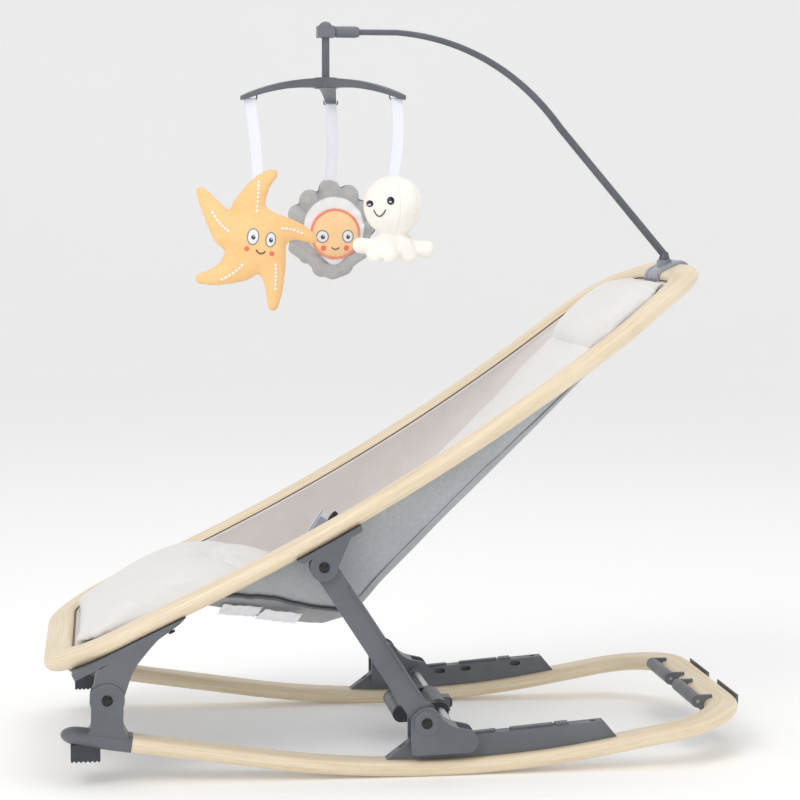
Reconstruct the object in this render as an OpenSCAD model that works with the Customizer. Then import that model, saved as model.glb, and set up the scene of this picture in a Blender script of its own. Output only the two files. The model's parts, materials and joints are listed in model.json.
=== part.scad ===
// Baby bouncer seat: a bentwood rocking base, a fabric seat on a bentwood rim that
// reclines and folds flat on a pair of struts, and a mobile with three soft toys.
// Millimetres. +X runs from the feet to the head, +Y to the baby's right, +Z up.
// The left side (-Y) is drawn and the right side is its mirror image.

/* [Rocking base] */
// Distance between the middles of the two rocker rails
rail_spacing = 380; // [370:2:390]
// Width of the base's flat oval bar
base_bar_w = 38; // [34:1:42]
// Thickness of the base's flat oval bar
base_bar_h = 17; // [15:1:19]
// Radius of the rocker curve, to the middle of the bar
rocker_r = 1175; // [1100:5:1250]
// Where the rocker touches the floor at rest
rocker_x = 45; // [40:1:50]
// Rise of the straight front stretch, degrees
front_rise = 8.65; // [8:0.05:9.5]
// Rise of the straight rear stretch, degrees
rear_rise = 9.65; // [9:0.05:10.5]
// Front end of the wooden rails
rail_front_x = -282; // [-290:1:-275]
// Middle of the bar across the rear
rear_bar_x = 399; // [394:1:404]
// Radius of the base's rear corners
base_corner_r = 85; // [70:1:100]

/* [Seat rim] */
// Width of the rim's flat oval bar
rim_bar_w = 36; // [32:1:38]
// Thickness of the rim's flat oval bar
rim_bar_h = 18; // [16:1:20]
// Distance between the middles of the rim's sides
rim_spacing = 376; // [370:2:380]
// Point where the rim slopes at its middle angle: X and Z
rim_middle = [-13, 302.6];
// Slope of the rim at that point, degrees
rim_slope = 30; // [28:0.5:32]
// Radius of the rim's long curve
rim_curve_r = 2606; // [2400:10:2800]
// Distance along the rim from that point to the middle of the foot bar
rim_foot_s = -390; // [-400:1:-380]
// Distance along the rim from that point to the middle of the head bar
rim_head_s = 446; // [440:1:452]
// Corner radius at the foot end
foot_corner_r = 75; // [65:1:85]
// Corner radius at the head end
head_corner_r = 130; // [115:1:145]

/* [Folding linkage] */
// Hinge between the base and the seat: X and Z
seat_pivot = [-308, 95];
// Hinge between the seat and the struts: X and Z
strut_pivot = [-72, 236.5];
// Hinge between the struts and the carriages: X and Z
carriage_pivot = [41, 61];
// Middle of the tube that joins the two carriages: X and Z
cross_tube = [79, 37.5];
// Slope of the slide rails, degrees
slide_slope = 4.4; // [4:0.1:5]
// Radius of the pivot bolts
pivot_bolt_r = 4; // [3:0.5:4.5]
// Width of the struts
strut_w = 26; // [22:1:27]

/* [Toy mobile] */
// Upright axis of the mobile: X and height of the hub block's middle
mobile_hub = [-49, 829.5];
// Length of each mobile arm
arm_length = 107; // [100:1:115]
// Turn of the mobile about its post, degrees
mobile_turn = -9; // [-12:1:0]

/* [Hidden] */
$fn = 48;

wood = [0.87, 0.78, 0.62];
grey_plastic = [0.39, 0.41, 0.44];
dark_plastic = [0.16, 0.16, 0.18];
bolt_black = [0.08, 0.08, 0.09];
steel = [0.75, 0.76, 0.78];
melange = [0.6, 0.62, 0.63];
cream_fabric = [0.88, 0.87, 0.86];
ribbon_white = [0.93, 0.93, 0.98];

// The whole object is shifted so that its box is centred over the origin
middle_x = 22.1;
running_gap = 0.05;
joint_gap = 0.5;
rail_y = -rail_spacing/2;
rim_y = -rim_spacing/2;

module place() translate([-middle_x, 0, 0]) children();
module side(right) mirror([0, right ? 1 : 0, 0]) children();
module both_sides() for (right = [false, true]) side(right) children();
// A flat plate whose outline is drawn in X and Z, between two Y values
module plate(y0, y1) translate([0, y1, 0]) rotate([90, 0, 0]) linear_extrude(y1 - y0) children();
// A rod along Y through a point given as X and Z
module rod_y(at, y0, y1, r) translate([at[0], y1, at[1]]) rotate([90, 0, 0]) cylinder(h = y1 - y0, r = r);
module disc(at, r) translate(at) circle(r);

function radians_of(length, r) = length/r*180/PI;
function mix(a, b, t) = a + (b - a)*t;
function along(a) = [cos(a), sin(a)];

// Outline of a flat oval, w wide and h high
function oval(w, h, n = 8) = [
    for (end = [0, 1], k = [0:n])
        let (a = -90 + 180*end + 180*k/n)
        [(end == 0 ? 1 : -1)*(w - h)/2 + h/2*cos(a), h/2*sin(a)]];

// Outline through points given as [x, z, corner radius]
function rounded(p, n = 6) = [
    for (i = [0:len(p) - 1])
        let (q = [p[i][0], p[i][1]], r = p[i][2])
        let (before = p[(i + len(p) - 1) % len(p)], after = p[(i + 1) % len(p)])
        let (u = unit([before[0], before[1]] - q), v = unit([after[0], after[1]] - q))
        let (half = acos(max(-1, min(1, u*v)))/2)
        let (centre = q + unit(u + v)*r/sin(half), start = q + u*r/tan(half), stop = q + v*r/tan(half))
        let (a0 = atan2(start[1] - centre[1], start[0] - centre[0]))
        let (a1 = atan2(stop[1] - centre[1], stop[0] - centre[0]))
        let (turn = (a1 - a0 + 540) % 360 - 180)
        for (k = [0:(r > 0 ? n : 0)]) r > 0 ? centre + r*along(a0 + turn*k/n) : q];
function unit(v) = v/norm(v);

// ---- The base's side view -------------------------------------------------------------
rocker_z = base_bar_h/2;
front_end = [rocker_x - rocker_r*sin(front_rise), rocker_z + rocker_r*(1 - cos(front_rise))];
rear_end = [rocker_x + rocker_r*sin(rear_rise), rocker_z + rocker_r*(1 - cos(rear_rise))];
function base_angle(x) =
    x < front_end[0] ? -front_rise : x > rear_end[0] ? rear_rise : asin((x - rocker_x)/rocker_r);
function base_z(x) =
    x < front_end[0] ? front_end[1] + (front_end[0] - x)*tan(front_rise)
    : x > rear_end[0] ? rear_end[1] + (x - rear_end[0])*tan(rear_rise)
    : rocker_z + rocker_r*(1 - cos(base_angle(x)));
function base_point(x) = [x, base_z(x)];
function base_top(x) = base_z(x) + base_bar_h/2/cos(base_angle(x));

// ---- The rim's side view: three arcs, by the distance s along it ----------------------
foot_arc_s = -240;
foot_arc_r = 3500;
head_arc_s = 355;
head_arc_r = 400;
function rim_angle(s) =
    s < foot_arc_s ? rim_angle(foot_arc_s) + radians_of(foot_arc_s - s, foot_arc_r)
    : s > head_arc_s ? rim_angle(head_arc_s) - radians_of(s - head_arc_s, head_arc_r)
    : rim_slope + radians_of(s, rim_curve_r);
function arc_step(r, a, b) = r*[sin(b) - sin(a), cos(a) - cos(b)];
function rim_point(s) =
    s < foot_arc_s ? rim_point(foot_arc_s) - arc_step(foot_arc_r, rim_angle(foot_arc_s), rim_angle(s))
    : s > head_arc_s ? rim_point(head_arc_s) - arc_step(head_arc_r, rim_angle(head_arc_s), rim_angle(s))
    : rim_middle + arc_step(rim_curve_r, rim_slope, rim_angle(s));
// A point d below the rim's middle surface, at distance s along it
function under_rim(s, d) = rim_point(s) + d*[sin(rim_angle(s)), -cos(rim_angle(s))];

// ---- Solids swept along a path --------------------------------------------------------
// Skins a list of rings of points, all of one length; a closed sweep joins the last to the first
module skin(rings, closed = false) {
    n = len(rings);
    m = len(rings[0]);
    polyhedron(
        points = [for (ring = rings) each ring],
        faces = concat(
            [for (i = [0:n - (closed ? 1 : 2)], j = [0:m - 1])
                [i*m + j, i*m + (j + 1) % m, ((i + 1) % n)*m + (j + 1) % m, ((i + 1) % n)*m + j]],
            closed ? [] : [[for (j = [m - 1:-1:0]) j], [for (j = [0:m - 1]) (n - 1)*m + j]]));
}

// A path in plan is a list of [u, y, direction in u, direction in y]
function straight(u0, y0, u1, y1, n) = [
    for (k = [0:n - 1])
        let (d = unit([u1 - u0, y1 - y0]))
        [mix(u0, u1, k/n), mix(y0, y1, k/n), d[0], d[1]]];
function bend(u, y, r, a0, n = 9) = [
    for (k = [0:n - 1])
        let (a = a0 + 90*k/n)
        [u + r*cos(a), y + r*sin(a), -sin(a), cos(a)]];

// One ring of a bar: the outline stands across the path on a surface that slopes at angle a
function bar_ring(at, y, a, du, dy, outline) =
    let (along_bar = [du*cos(a), dy, du*sin(a)], up = [-sin(a), 0, cos(a)])
    let (across = cross(along_bar, up))
    [for (q = outline) [at[0], y, at[1]] + q[0]*across + q[1]*up];

base_half = rail_spacing/2;
base_u = rear_bar_x - base_corner_r;
base_y = base_half - base_corner_r;
base_path = concat(
    straight(rail_front_x, -base_half, base_u, -base_half, 26),
    bend(base_u, -base_y, base_corner_r, -90),
    straight(rear_bar_x, -base_y, rear_bar_x, base_y, 2),
    bend(base_u, base_y, base_corner_r, 0),
    straight(base_u, base_half, rail_front_x, base_half, 26),
    [[rail_front_x, base_half, -1, 0]]);
function base_ring(p, outline) =
    bar_ring(base_point(p[0]), p[1], base_angle(p[0]), p[2], p[3], outline);

// The bar's ends are cut down to tenons that fit inside the front caps
tenon_l = 26;
tenon_inset = 4;
tenon = oval(base_bar_w - 2*tenon_inset, base_bar_h - 2*tenon_inset);
module base_frame() color(wood) place() {
    skin([for (p = base_path) base_ring(p, oval(base_bar_w, base_bar_h))]);
    both_sides()
        skin([for (x = [rail_front_x - tenon_l, rail_front_x + 1]) base_ring([x, rail_y, 1, 0], tenon)]);
}

rim_half = rim_spacing/2;
foot_u = rim_foot_s + foot_corner_r;
head_u = rim_head_s - head_corner_r;
foot_y = rim_half - foot_corner_r;
head_y = rim_half - head_corner_r;
rim_path = concat(
    straight(foot_u, -rim_half, head_u, -rim_half, 26),
    bend(head_u, -head_y, head_corner_r, -90, 12),
    straight(rim_head_s, -head_y, rim_head_s, head_y, 2),
    bend(head_u, head_y, head_corner_r, 0, 12),
    straight(head_u, rim_half, foot_u, rim_half, 26),
    bend(foot_u, foot_y, foot_corner_r, 90),
    straight(rim_foot_s, foot_y, rim_foot_s, -foot_y, 2),
    bend(foot_u, -foot_y, foot_corner_r, 180));
module seat_rim() color(wood) place()
    skin([for (p = rim_path)
        bar_ring(rim_point(p[0]), p[1], rim_angle(p[0]), p[2], p[3], oval(rim_bar_w, rim_bar_h))], true);

// ---- Base: front caps, feet, slide rails ----------------------------------------------
cap_l = 78;
cap_tip_r = 19;
knuckle_r = 19;
cheek_out = 16;
tongue_half = 7.5;
tongue_r = 17;
module at_rail_end()
    translate([rail_front_x, rail_y, base_z(rail_front_x)]) rotate([0, front_rise, 0]) children();
module front_cap_body() at_rail_end() hull() {
    translate([-24, 0, 0]) rotate([90, 0, 90])
        linear_extrude(24) polygon(oval(base_bar_w + 1, base_bar_h + 1));
    translate([cap_tip_r - cap_l, 0, 0]) scale([1, 1, 0.5]) sphere(cap_tip_r, $fn = 32);
}
module front_cap(right) color(grey_plastic) place() side(right) difference() {
    union() {
        front_cap_body();
        plate(rail_y - cheek_out, rail_y + cheek_out) {
            disc(seat_pivot, knuckle_r);
            polygon(rounded([[-332, 54, 0], [-326, 64, 14], [-325.5, 90, 0], [-290.5, 90, 0],
                [-291, 64, 14], [-284, 50, 0], [-300, 44, 0], [-326, 48, 0]]));
        }
    }
    plate(rail_y - tongue_half - joint_gap, rail_y + tongue_half + joint_gap) {
        disc(seat_pivot, tongue_r + 2);
        translate([seat_pivot[0] - 60, seat_pivot[1]]) square([120, 40]);
    }
    rod_y(seat_pivot, rail_y - 30, rail_y + 30, pivot_bolt_r);
    at_rail_end() translate([-tenon_l - 1, 0, 0]) rotate([90, 0, 90])
        linear_extrude(tenon_l + 11) offset(running_gap) polygon(tenon);
}
module front_cap_left() front_cap(false);
module front_cap_right() front_cap(true);

foot_x = [-348, -316];
foot_top = 47;
foot_bottom = 27;
foot_teeth = 6;
module front_foot(right) color(dark_plastic) place() side(right) difference() {
    plate(rail_y - 15, rail_y + 15) polygon(concat(
        [[foot_x[0], foot_top], [foot_x[0], foot_bottom + 2]],
        [for (k = [0:2*foot_teeth])
            [mix(foot_x[0], foot_x[1], (k + 0.5)/(2*foot_teeth + 1)), foot_bottom + (k % 2 == 0 ? 0 : 2)]],
        [[foot_x[1], foot_bottom + 2], [foot_x[1], foot_top]]));
    front_cap_body();
}
module front_foot_left() front_foot(false);
module front_foot_right() front_foot(true);

// The slide rail stands on top of the rocker, inside the carriage
slide_rail_y = [-195, -179];
slide_rail_x = [-2, 258];
function slide_line(x, drop) = carriage_pivot[1] + (x - carriage_pivot[0])*tan(slide_slope) - drop;
ridge_drop = 19.6;
rail_drop = 22;
lock_x = [79, 112, 145, 209];
lock_r = 3;
lock_slot = 7;
lock_low = 1.2;
function lock_point(x) = [x, cross_tube[1] - lock_low + (x - cross_tube[0])*tan(slide_slope)];
module slide_rail(right) color(grey_plastic) place() side(right) difference() {
    union() {
        plate(slide_rail_y[0], slide_rail_y[1]) polygon(concat(
            [for (k = [0:12]) let (x = mix(slide_rail_x[0], slide_rail_x[1], k/12)) [x, base_top(x) + 0.15]],
            [[243, slide_line(243, rail_drop)], [24, slide_line(24, rail_drop)]]));
        plate(slide_rail_y[0] + 4, slide_rail_y[1] - 4)
            for (run = [[24, 121], [138, 186]])
                polygon([
                    [run[0], slide_line(run[0], rail_drop + 1)], [run[1], slide_line(run[1], rail_drop + 1)],
                    [run[1], slide_line(run[1], ridge_drop)], [run[0], slide_line(run[0], ridge_drop)]]);
        plate(slide_rail_y[0] + 2, slide_rail_y[1] - 2) polygon([
            [188, slide_line(188, rail_drop + 1)], [204, slide_line(204, rail_drop + 1)],
            [203, slide_line(203, ridge_drop)], [189, slide_line(189, ridge_drop)]]);
    }
    plate(slide_rail_y[1] - 6, slide_rail_y[1] + 1) for (x = lock_x) translate(lock_point(x)) {
        translate([-lock_slot/2, -lock_r]) square([lock_slot, 2*lock_r]);
        for (dx = [-1, 1]) translate([dx*lock_slot/2, 0]) circle(lock_r);
    }
    for (x = rail_screw_x) translate([x, mean_y(slide_rail_y), 0]) {
        cylinder(h = 80, r = rail_screw_r);
        translate([0, 0, screw_head_z(x)]) cylinder(h = 80, r = rail_screw_head_r);
    }
}
function mean_y(range) = (range[0] + range[1])/2;
rail_screw_x = [16, 232];
rail_screw_r = 2;
rail_screw_head_r = 3.6;
function screw_head_z(x) = base_top(x) + 9;
module slide_rail_left() slide_rail(false);
module slide_rail_right() slide_rail(true);
module rail_screws() color(steel) place() both_sides() for (x = rail_screw_x)
    translate([x, mean_y(slide_rail_y), 0]) {
        translate([0, 0, base_top(x) - 10]) cylinder(h = 20, r = rail_screw_r - running_gap);
        translate([0, 0, screw_head_z(x)]) cylinder(h = 2.4, r = rail_screw_head_r - 0.1);
    }

// A pivot bolt has a domed head outside and a cap nut inside
module pivot_bolt(at, y0, y1) {
    rod_y(at, y0, y1, pivot_bolt_r);
    for (end = [[y0, -1], [y1, 1]]) translate([at[0], end[0], at[1]]) rotate([-90*end[1], 0, 0])
        rotate_extrude() polygon([[0, 0], [6, 0], [6, 0.8], [4.6, 2.2], [2.4, 2.9], [0, 3]]);
}
module front_pivot_bolts() color(bolt_black) place() both_sides()
    pivot_bolt(seat_pivot, rail_y - cheek_out, rail_y + cheek_out);

// ---- Rear stops: flaps under the rear bar that turn down to stop the rocking ----------
stop_pivot = [372.5, 55];
stop_y = [18, 112];
stop_barrel_r = 7.5;
stop_pin_r = 2;
stop_ear = 5;
stop_gap = 1.3;
stop_skin = 3;
nose = [rear_bar_x + (base_bar_w - base_bar_h)/2*cos(rear_rise),
    base_z(rear_bar_x) + (base_bar_w - base_bar_h)/2*sin(rear_rise)];
heel = [rear_bar_x - (base_bar_w - base_bar_h)/2*cos(rear_rise),
    base_z(rear_bar_x) - (base_bar_w - base_bar_h)/2*sin(rear_rise)];
// The flap's inner or outer line: under the bar, then up round its rear edge
function stop_wrap(r, top) = concat(
    [for (k = [0:3]) heel + r*along(mix(-125, -90 + rear_rise, k/3))],
    [for (k = [0:8]) nose + r*along(mix(-90 + rear_rise, 0, k/8))],
    [[nose[0] + r, top]]);
module rear_stop(right) color(grey_plastic) place() side(right) difference() {
    wrap_r = base_bar_h/2 + stop_gap;
    inner = stop_wrap(wrap_r, 62);
    outer = stop_wrap(wrap_r + stop_skin, 60.5);
    plate(-stop_y[1] + stop_ear + joint_gap, -stop_y[0] - stop_ear - joint_gap) {
        disc(stop_pivot, stop_barrel_r);
        polygon(concat([stop_pivot + stop_barrel_r/2*along(-30)], inner,
            [for (k = [len(outer) - 1:-1:0]) outer[k]], [stop_pivot + stop_barrel_r/2*along(-150)]));
    }
    rod_y(stop_pivot, -130, 0, stop_pin_r + running_gap);
}
module rear_stop_left() rear_stop(false);
module rear_stop_right() rear_stop(true);

module stop_hinge(right) color(dark_plastic) place() side(right) difference() {
    for (y = [-stop_y[1], -stop_y[0] - stop_ear]) plate(y, y + stop_ear) {
        disc(stop_pivot, stop_barrel_r);
        difference() {
            union() {
                disc(heel, base_bar_h/2 + 4);
                polygon([heel + (base_bar_h/2 + 4)*along(-90 + rear_rise),
                    nose + (base_bar_h/2 + 4)*along(-90 + rear_rise), nose, heel]);
                polygon([stop_pivot + stop_barrel_r*along(90), heel + (base_bar_h/2 + 4)*along(100), heel,
                    stop_pivot + stop_barrel_r*along(-90)]);
            }
            disc(heel, base_bar_h/2 + joint_gap);
            disc(nose, base_bar_h/2 + joint_gap);
            polygon([heel + (base_bar_h/2 + joint_gap)*along(-90 + rear_rise),
                nose + (base_bar_h/2 + joint_gap)*along(-90 + rear_rise),
                nose + 30*along(90), heel + 30*along(90)]);
        }
    }
    rod_y(stop_pivot, -130, 0, stop_pin_r);
}
module stop_hinge_left() stop_hinge(false);
module stop_hinge_right() stop_hinge(true);
module stop_hinge_pins() color(steel) place() both_sides()
    rod_y(stop_pivot, -stop_y[1], -stop_y[0], stop_pin_r);

// ---- Seat brackets --------------------------------------------------------------------
// The rim's underside from one distance along it to another
function rim_underside(s0, s1, drop, n = 8) = [
    for (k = [0:n]) under_rim(mix(s0, s1, k/n), rim_bar_h/2 + drop + running_gap)];
bracket_half = 17;
front_plate_s = [-378, -240];
front_plate_t = 8;
front_leg_rear = [[-229, 177], [-253, 160], [-262, 150], [-275, 134], [-282, 121], [-290, 97]];
front_leg_front = [[-324, 97], [-321, 118], [-316, 129]];
module front_bracket(right) color(grey_plastic) place() side(right) difference() {
    union() {
        difference() {
            plate(rail_y - cheek_out, rail_y + cheek_out) polygon(concat(
                rim_underside(front_plate_s[0], front_plate_s[1], 0), front_leg_rear, front_leg_front,
                rim_underside(-335, front_plate_s[0], front_plate_t, 3)));
            plate(rail_y - 30, rail_y + 30) disc(seat_pivot, knuckle_r + joint_gap);
        }
        plate(rail_y - tongue_half, rail_y + tongue_half) {
            disc(seat_pivot, tongue_r);
            polygon([[-321, 97], [-292, 97], [-288, 118], [-319, 118]]);
        }
    }
    rod_y(seat_pivot, rail_y - 30, rail_y + 30, pivot_bolt_r + running_gap);
    for (s = front_screw_s) screw_hole(s, front_plate_t);
}
module front_bracket_left() front_bracket(false);
module front_bracket_right() front_bracket(true);

// The mid bracket holds the strut's top end between an outer and an inner cheek
mid_plate_s = [-106, -26];
mid_plate_t = 6;
strut_y = [-204.4, -197];
cheek_t = 5;
mid_cheek_r = 15.5;
module mid_bracket(right) color(grey_plastic) place() side(right) difference() {
    union() {
        plate(strut_y[0] - cheek_t - 0.3, rim_y + bracket_half) polygon(concat(
            rim_underside(mid_plate_s[0], mid_plate_s[1], 0, 4),
            rim_underside(mid_plate_s[1] - 2, mid_plate_s[0] + 6, mid_plate_t, 4)));
        for (y = [strut_y[0] - cheek_t - 0.3, strut_y[1] + 0.3]) plate(y, y + cheek_t) {
            disc(strut_pivot, mid_cheek_r);
            polygon([under_rim(-84, rim_bar_h/2 + 2), under_rim(-38, rim_bar_h/2 + 2),
                strut_pivot + mid_cheek_r*along(0), strut_pivot, strut_pivot + mid_cheek_r*along(200)]);
        }
    }
    rod_y(strut_pivot, strut_y[0] - 20, strut_y[1] + 20, pivot_bolt_r);
    for (s = mid_screw_s) screw_hole(s, mid_plate_t);
}
module mid_bracket_left() mid_bracket(false);
module mid_bracket_right() mid_bracket(true);
module mid_pivot_bolts() color(bolt_black) place() both_sides()
    pivot_bolt(strut_pivot, strut_y[0] - cheek_t - 0.3, strut_y[1] + cheek_t + 0.3);

// Screws go up through the bracket plates into the rim
front_screw_s = [-366, -262];
mid_screw_s = [-98, -34];
plate_screw_y = rim_y + 9;
plate_screw_r = 2;
module at_rim(s, y, d)
    translate([under_rim(s, d)[0], y, under_rim(s, d)[1]]) rotate([0, -rim_angle(s), 0]) children();
module screw_hole(s, t) at_rim(s, plate_screw_y, rim_bar_h/2 + t + 10) cylinder(h = 30, r = plate_screw_r);
module bracket_screw(s, t) at_rim(s, plate_screw_y, rim_bar_h/2 + t + 2*running_gap) {
    cylinder(h = t + 8, r = plate_screw_r);
    translate([0, 0, -2]) cylinder(h = 2, r = 3.8);
}
module bracket_screws() color(steel) place() both_sides() {
    for (s = front_screw_s) bracket_screw(s, s == front_screw_s[1] ? front_plate_t + 3 : front_plate_t);
    for (s = mid_screw_s) bracket_screw(s, mid_plate_t);
}

// ---- Struts and carriages -------------------------------------------------------------
strut_v = carriage_pivot - strut_pivot;
strut_l = norm(strut_v);
strut_a = atan2(strut_v[1], strut_v[0]);
lip_ends = [34, 182];
lip_t = 2.5;
module strut(right) color(grey_plastic) place() side(right) difference() {
    union() {
        plate(strut_y[0], strut_y[1]) translate(strut_pivot) rotate(strut_a) {
            translate([0, -strut_w/2]) square([strut_l, strut_w]);
            circle(strut_w/2);
            translate([strut_l, 0]) circle(strut_w/2);
        }
        plate(strut_y[0] - lip_t, strut_y[1]) translate(strut_pivot) rotate(strut_a)
            translate([lip_ends[0], strut_w/2 - lip_t]) square([lip_ends[1] - lip_ends[0], lip_t]);
    }
    for (at = [strut_pivot, carriage_pivot])
        rod_y(at, strut_y[0] - 10, strut_y[1] + 10, pivot_bolt_r + running_gap);
}
module strut_left() strut(false);
module strut_right() strut(true);

carriage_outer_y = [strut_y[0] - 0.3 - cheek_t, strut_y[0] - 0.3];
carriage_inner_y = [-178, -173];
carriage_boss_r = 17;
roof_x = [56, 77];
module carriage_outline() {
    disc(carriage_pivot, carriage_boss_r);
    polygon(rounded([[24, 24.5, 5], [92, 26.5, 9], [101, 39, 8], [93, 51, 10], [68, 56.5, 30],
        [54, 69, 0], [41, 72, 0], [24, 61, 0]]));
}
module carriage(right) color(grey_plastic) place() side(right) difference() {
    union() {
        plate(carriage_outer_y[0], carriage_outer_y[1]) carriage_outline();
        plate(carriage_inner_y[0], carriage_inner_y[1]) carriage_outline();
        plate(carriage_outer_y[0], carriage_inner_y[1]) intersection() {
            difference() {
                carriage_outline();
                translate([0, -3.4]) carriage_outline();
            }
            translate([roof_x[0], 30]) square([roof_x[1] - roof_x[0], 40]);
        }
        rod_y(cross_tube, carriage_inner_y[1], carriage_inner_y[1] + 10, 8.5);
        rod_y(carriage_pivot, carriage_outer_y[0] - 1.2, carriage_outer_y[0], 14);
    }
    rod_y(cross_tube, -200, 0, cross_tube_r);
    rod_y(carriage_pivot, -230, -150, pivot_bolt_r);
}
module carriage_left() carriage(false);
module carriage_right() carriage(true);
module carriage_pivot_bolts() color(bolt_black) place() both_sides()
    pivot_bolt(carriage_pivot, carriage_outer_y[0] - 1.2, carriage_inner_y[1]);

cross_tube_r = 6;
latch_r = 3.5;
latch_l = 28;
latch_tip_y = -178.7;
latch_travel = 5;
module cross_tube_bar() color(steel) place() difference() {
    rod_y(cross_tube, -178, 178, cross_tube_r);
    rod_y(cross_tube, -179, 179, latch_r + running_gap);
}
module latch_bolt(right) color(steel) place() side(right)
    rod_y(cross_tube, latch_tip_y, latch_tip_y + latch_l, latch_r);
module latch_bolt_left() latch_bolt(false);
module latch_bolt_right() latch_bolt(true);

// Each spring pushes its latch bolt outward; it is drawn at its shortest
spring_turns = 6;
spring_l = 16;
spring_r = 2.6;
spring_wire_r = 0.4;
module latch_springs() color(steel) place() both_sides()
    translate([cross_tube[0], latch_tip_y + latch_l + latch_travel + 1, cross_tube[1]])
        skin([for (k = [0:12*spring_turns]) let (a = 30*k, y = spring_l*k/(12*spring_turns))
            [for (j = [0:4]) let (r = spring_r + spring_wire_r*cos(72*j))
                [r*cos(a), y + spring_wire_r*sin(72*j), r*sin(a)]]]);

// ---- Release handle in the middle of the cross tube -----------------------------------
housing_half = 37;
housing_r = 12.5;
grip_at = [33, 35];
grip_half = 38;
grip_r = 9.5;
arm_y = [42, 47];
module handle_housing() color(grey_plastic) place() difference() {
    union() {
        rod_y(cross_tube, -housing_half, housing_half, housing_r);
        plate(-9, 9) translate([cross_tube[0], cross_tube[1] - 8.5]) square([18, 17]);
    }
    rod_y(cross_tube, -60, 60, cross_tube_r);
    translate([cross_tube[0] + 8, 0, cross_tube[1]]) rotate([0, 90, 0])
        cylinder(h = 20, r = button_r + running_gap);
}
button_r = 6;
module lock_button() color(dark_plastic) place()
    translate([cross_tube[0] + 13, 0, cross_tube[1]]) rotate([0, 90, 0])
        rotate_extrude() polygon([[0, 0], [button_r, 0], [button_r, 6.5], [button_r - 1.5, 8.5], [0, 9]]);

// The grip turns on the cross tube, on an arm at each end of the housing
grip_core_r = 6;
module release_grip() color(dark_plastic) place() difference() {
    union() {
        rod_y(grip_at, -arm_y[0], arm_y[0], grip_core_r);
        for (m = [0, 1]) mirror([0, m, 0]) plate(-arm_y[1], -arm_y[0] + 4) {
            disc(cross_tube, 11);
            disc(grip_at, grip_r);
            polygon([cross_tube + 11*along(95), cross_tube + 11*along(-95), grip_at + grip_r*along(-85),
                grip_at + grip_r*along(85)]);
        }
    }
    rod_y(cross_tube, -60, 60, cross_tube_r + running_gap);
}
module grip_sleeve() color(grey_plastic) place() difference() {
    rod_y(grip_at, -arm_y[0] + 4, arm_y[0] - 4, grip_r);
    rod_y(grip_at, -60, 60, grip_core_r);
}

// ---- Soft seat: sheets hung below the rim's middle surface ----------------------------
// Depth of the bag's outer skin below the rim, by the distance along it
bag_depth = [[-371, 4], [-300, 6], [-218, 15], [-170, 50], [-108, 98], [-84, 109], [-60, 103], [-42, 94],
    [60, 65], [136, 48], [254, 24], [345, 8], [423, 4]];
bag_s = [-371, 423];
bag_t = 3;
function bag_d(s) = lookup(s, bag_depth);
// Half the width between the rim's sides, which closes in round its corners
function inner_half(s) =
    let (w = rim_half - rim_bar_w/2 - 0.6, rf = foot_corner_r - rim_bar_w/2, rh = head_corner_r - rim_bar_w/2)
    let (f = max(0, bag_s[0] + rf - s), h = max(0, s - (rim_head_s - rim_bar_w/2 - rh)))
    w - (f > 0 ? rf - sqrt(max(0, rf*rf - f*f)) : 0) - (h > 0 ? rh - sqrt(max(0, rh*rh - h*h)) : 0);
function wall(v, p) = pow(max(0, 1 - pow(abs(v), p)), 0.5);
function seat_point(s, y, d) = let (q = under_rim(s, d)) [q[0], y, q[1]];
v_n = 8;
v_steps = [for (k = [-v_n:v_n]) sin(90*k/v_n)];

// A sheet between two surfaces, each a grid of points in s and across. Both are cut into
// triangles the same way, so that sheets laid on each other stay apart.
module sheet(top, bottom) {
    n = len(top);
    m = len(top[0]);
    function over(i, j) = i*m + j;
    function below(i, j) = (n + i)*m + j;
    polyhedron(
        points = concat([for (ring = top) each ring], [for (ring = bottom) each ring]),
        faces = concat(
            [for (i = [0:n - 2], j = [0:m - 2]) each [
                [over(i, j), over(i, j + 1), over(i + 1, j + 1)],
                [over(i, j), over(i + 1, j + 1), over(i + 1, j)],
                [below(i, j), below(i + 1, j + 1), below(i, j + 1)],
                [below(i, j), below(i + 1, j), below(i + 1, j + 1)]]],
            [for (i = [0:n - 2]) each [
                [over(i, m - 1), below(i, m - 1), below(i + 1, m - 1)],
                [over(i, m - 1), below(i + 1, m - 1), over(i + 1, m - 1)],
                [over(i, 0), below(i + 1, 0), below(i, 0)],
                [over(i, 0), over(i + 1, 0), below(i + 1, 0)]]],
            [for (j = [0:m - 2]) each [
                [over(0, j), below(0, j), below(0, j + 1)],
                [over(0, j), below(0, j + 1), over(0, j + 1)],
                [over(n - 1, j), below(n - 1, j + 1), below(n - 1, j)],
                [over(n - 1, j), over(n - 1, j + 1), below(n - 1, j + 1)]]]));
}
bag_n = 34;
// One skin of the bag, moved inward from the outer one
function bag_skin(inset) = [
    for (k = [0:bag_n])
        let (s = mix(bag_s[0], bag_s[1], k/bag_n), si = mix(bag_s[0] + inset, bag_s[1] - inset, k/bag_n))
        [for (v = v_steps) seat_point(si, v*(inner_half(s) - inset), (bag_d(s) - inset)*wall(v, 8))]];
module seat_shell() color(melange) place() sheet(bag_skin(bag_t), bag_skin(0));
liner_gap = 0.4;
liner_t = 3;
module seat_liner() color(cream_fabric) place()
    sheet(bag_skin(bag_t + liner_gap + liner_t), bag_skin(bag_t + liner_gap));

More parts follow.
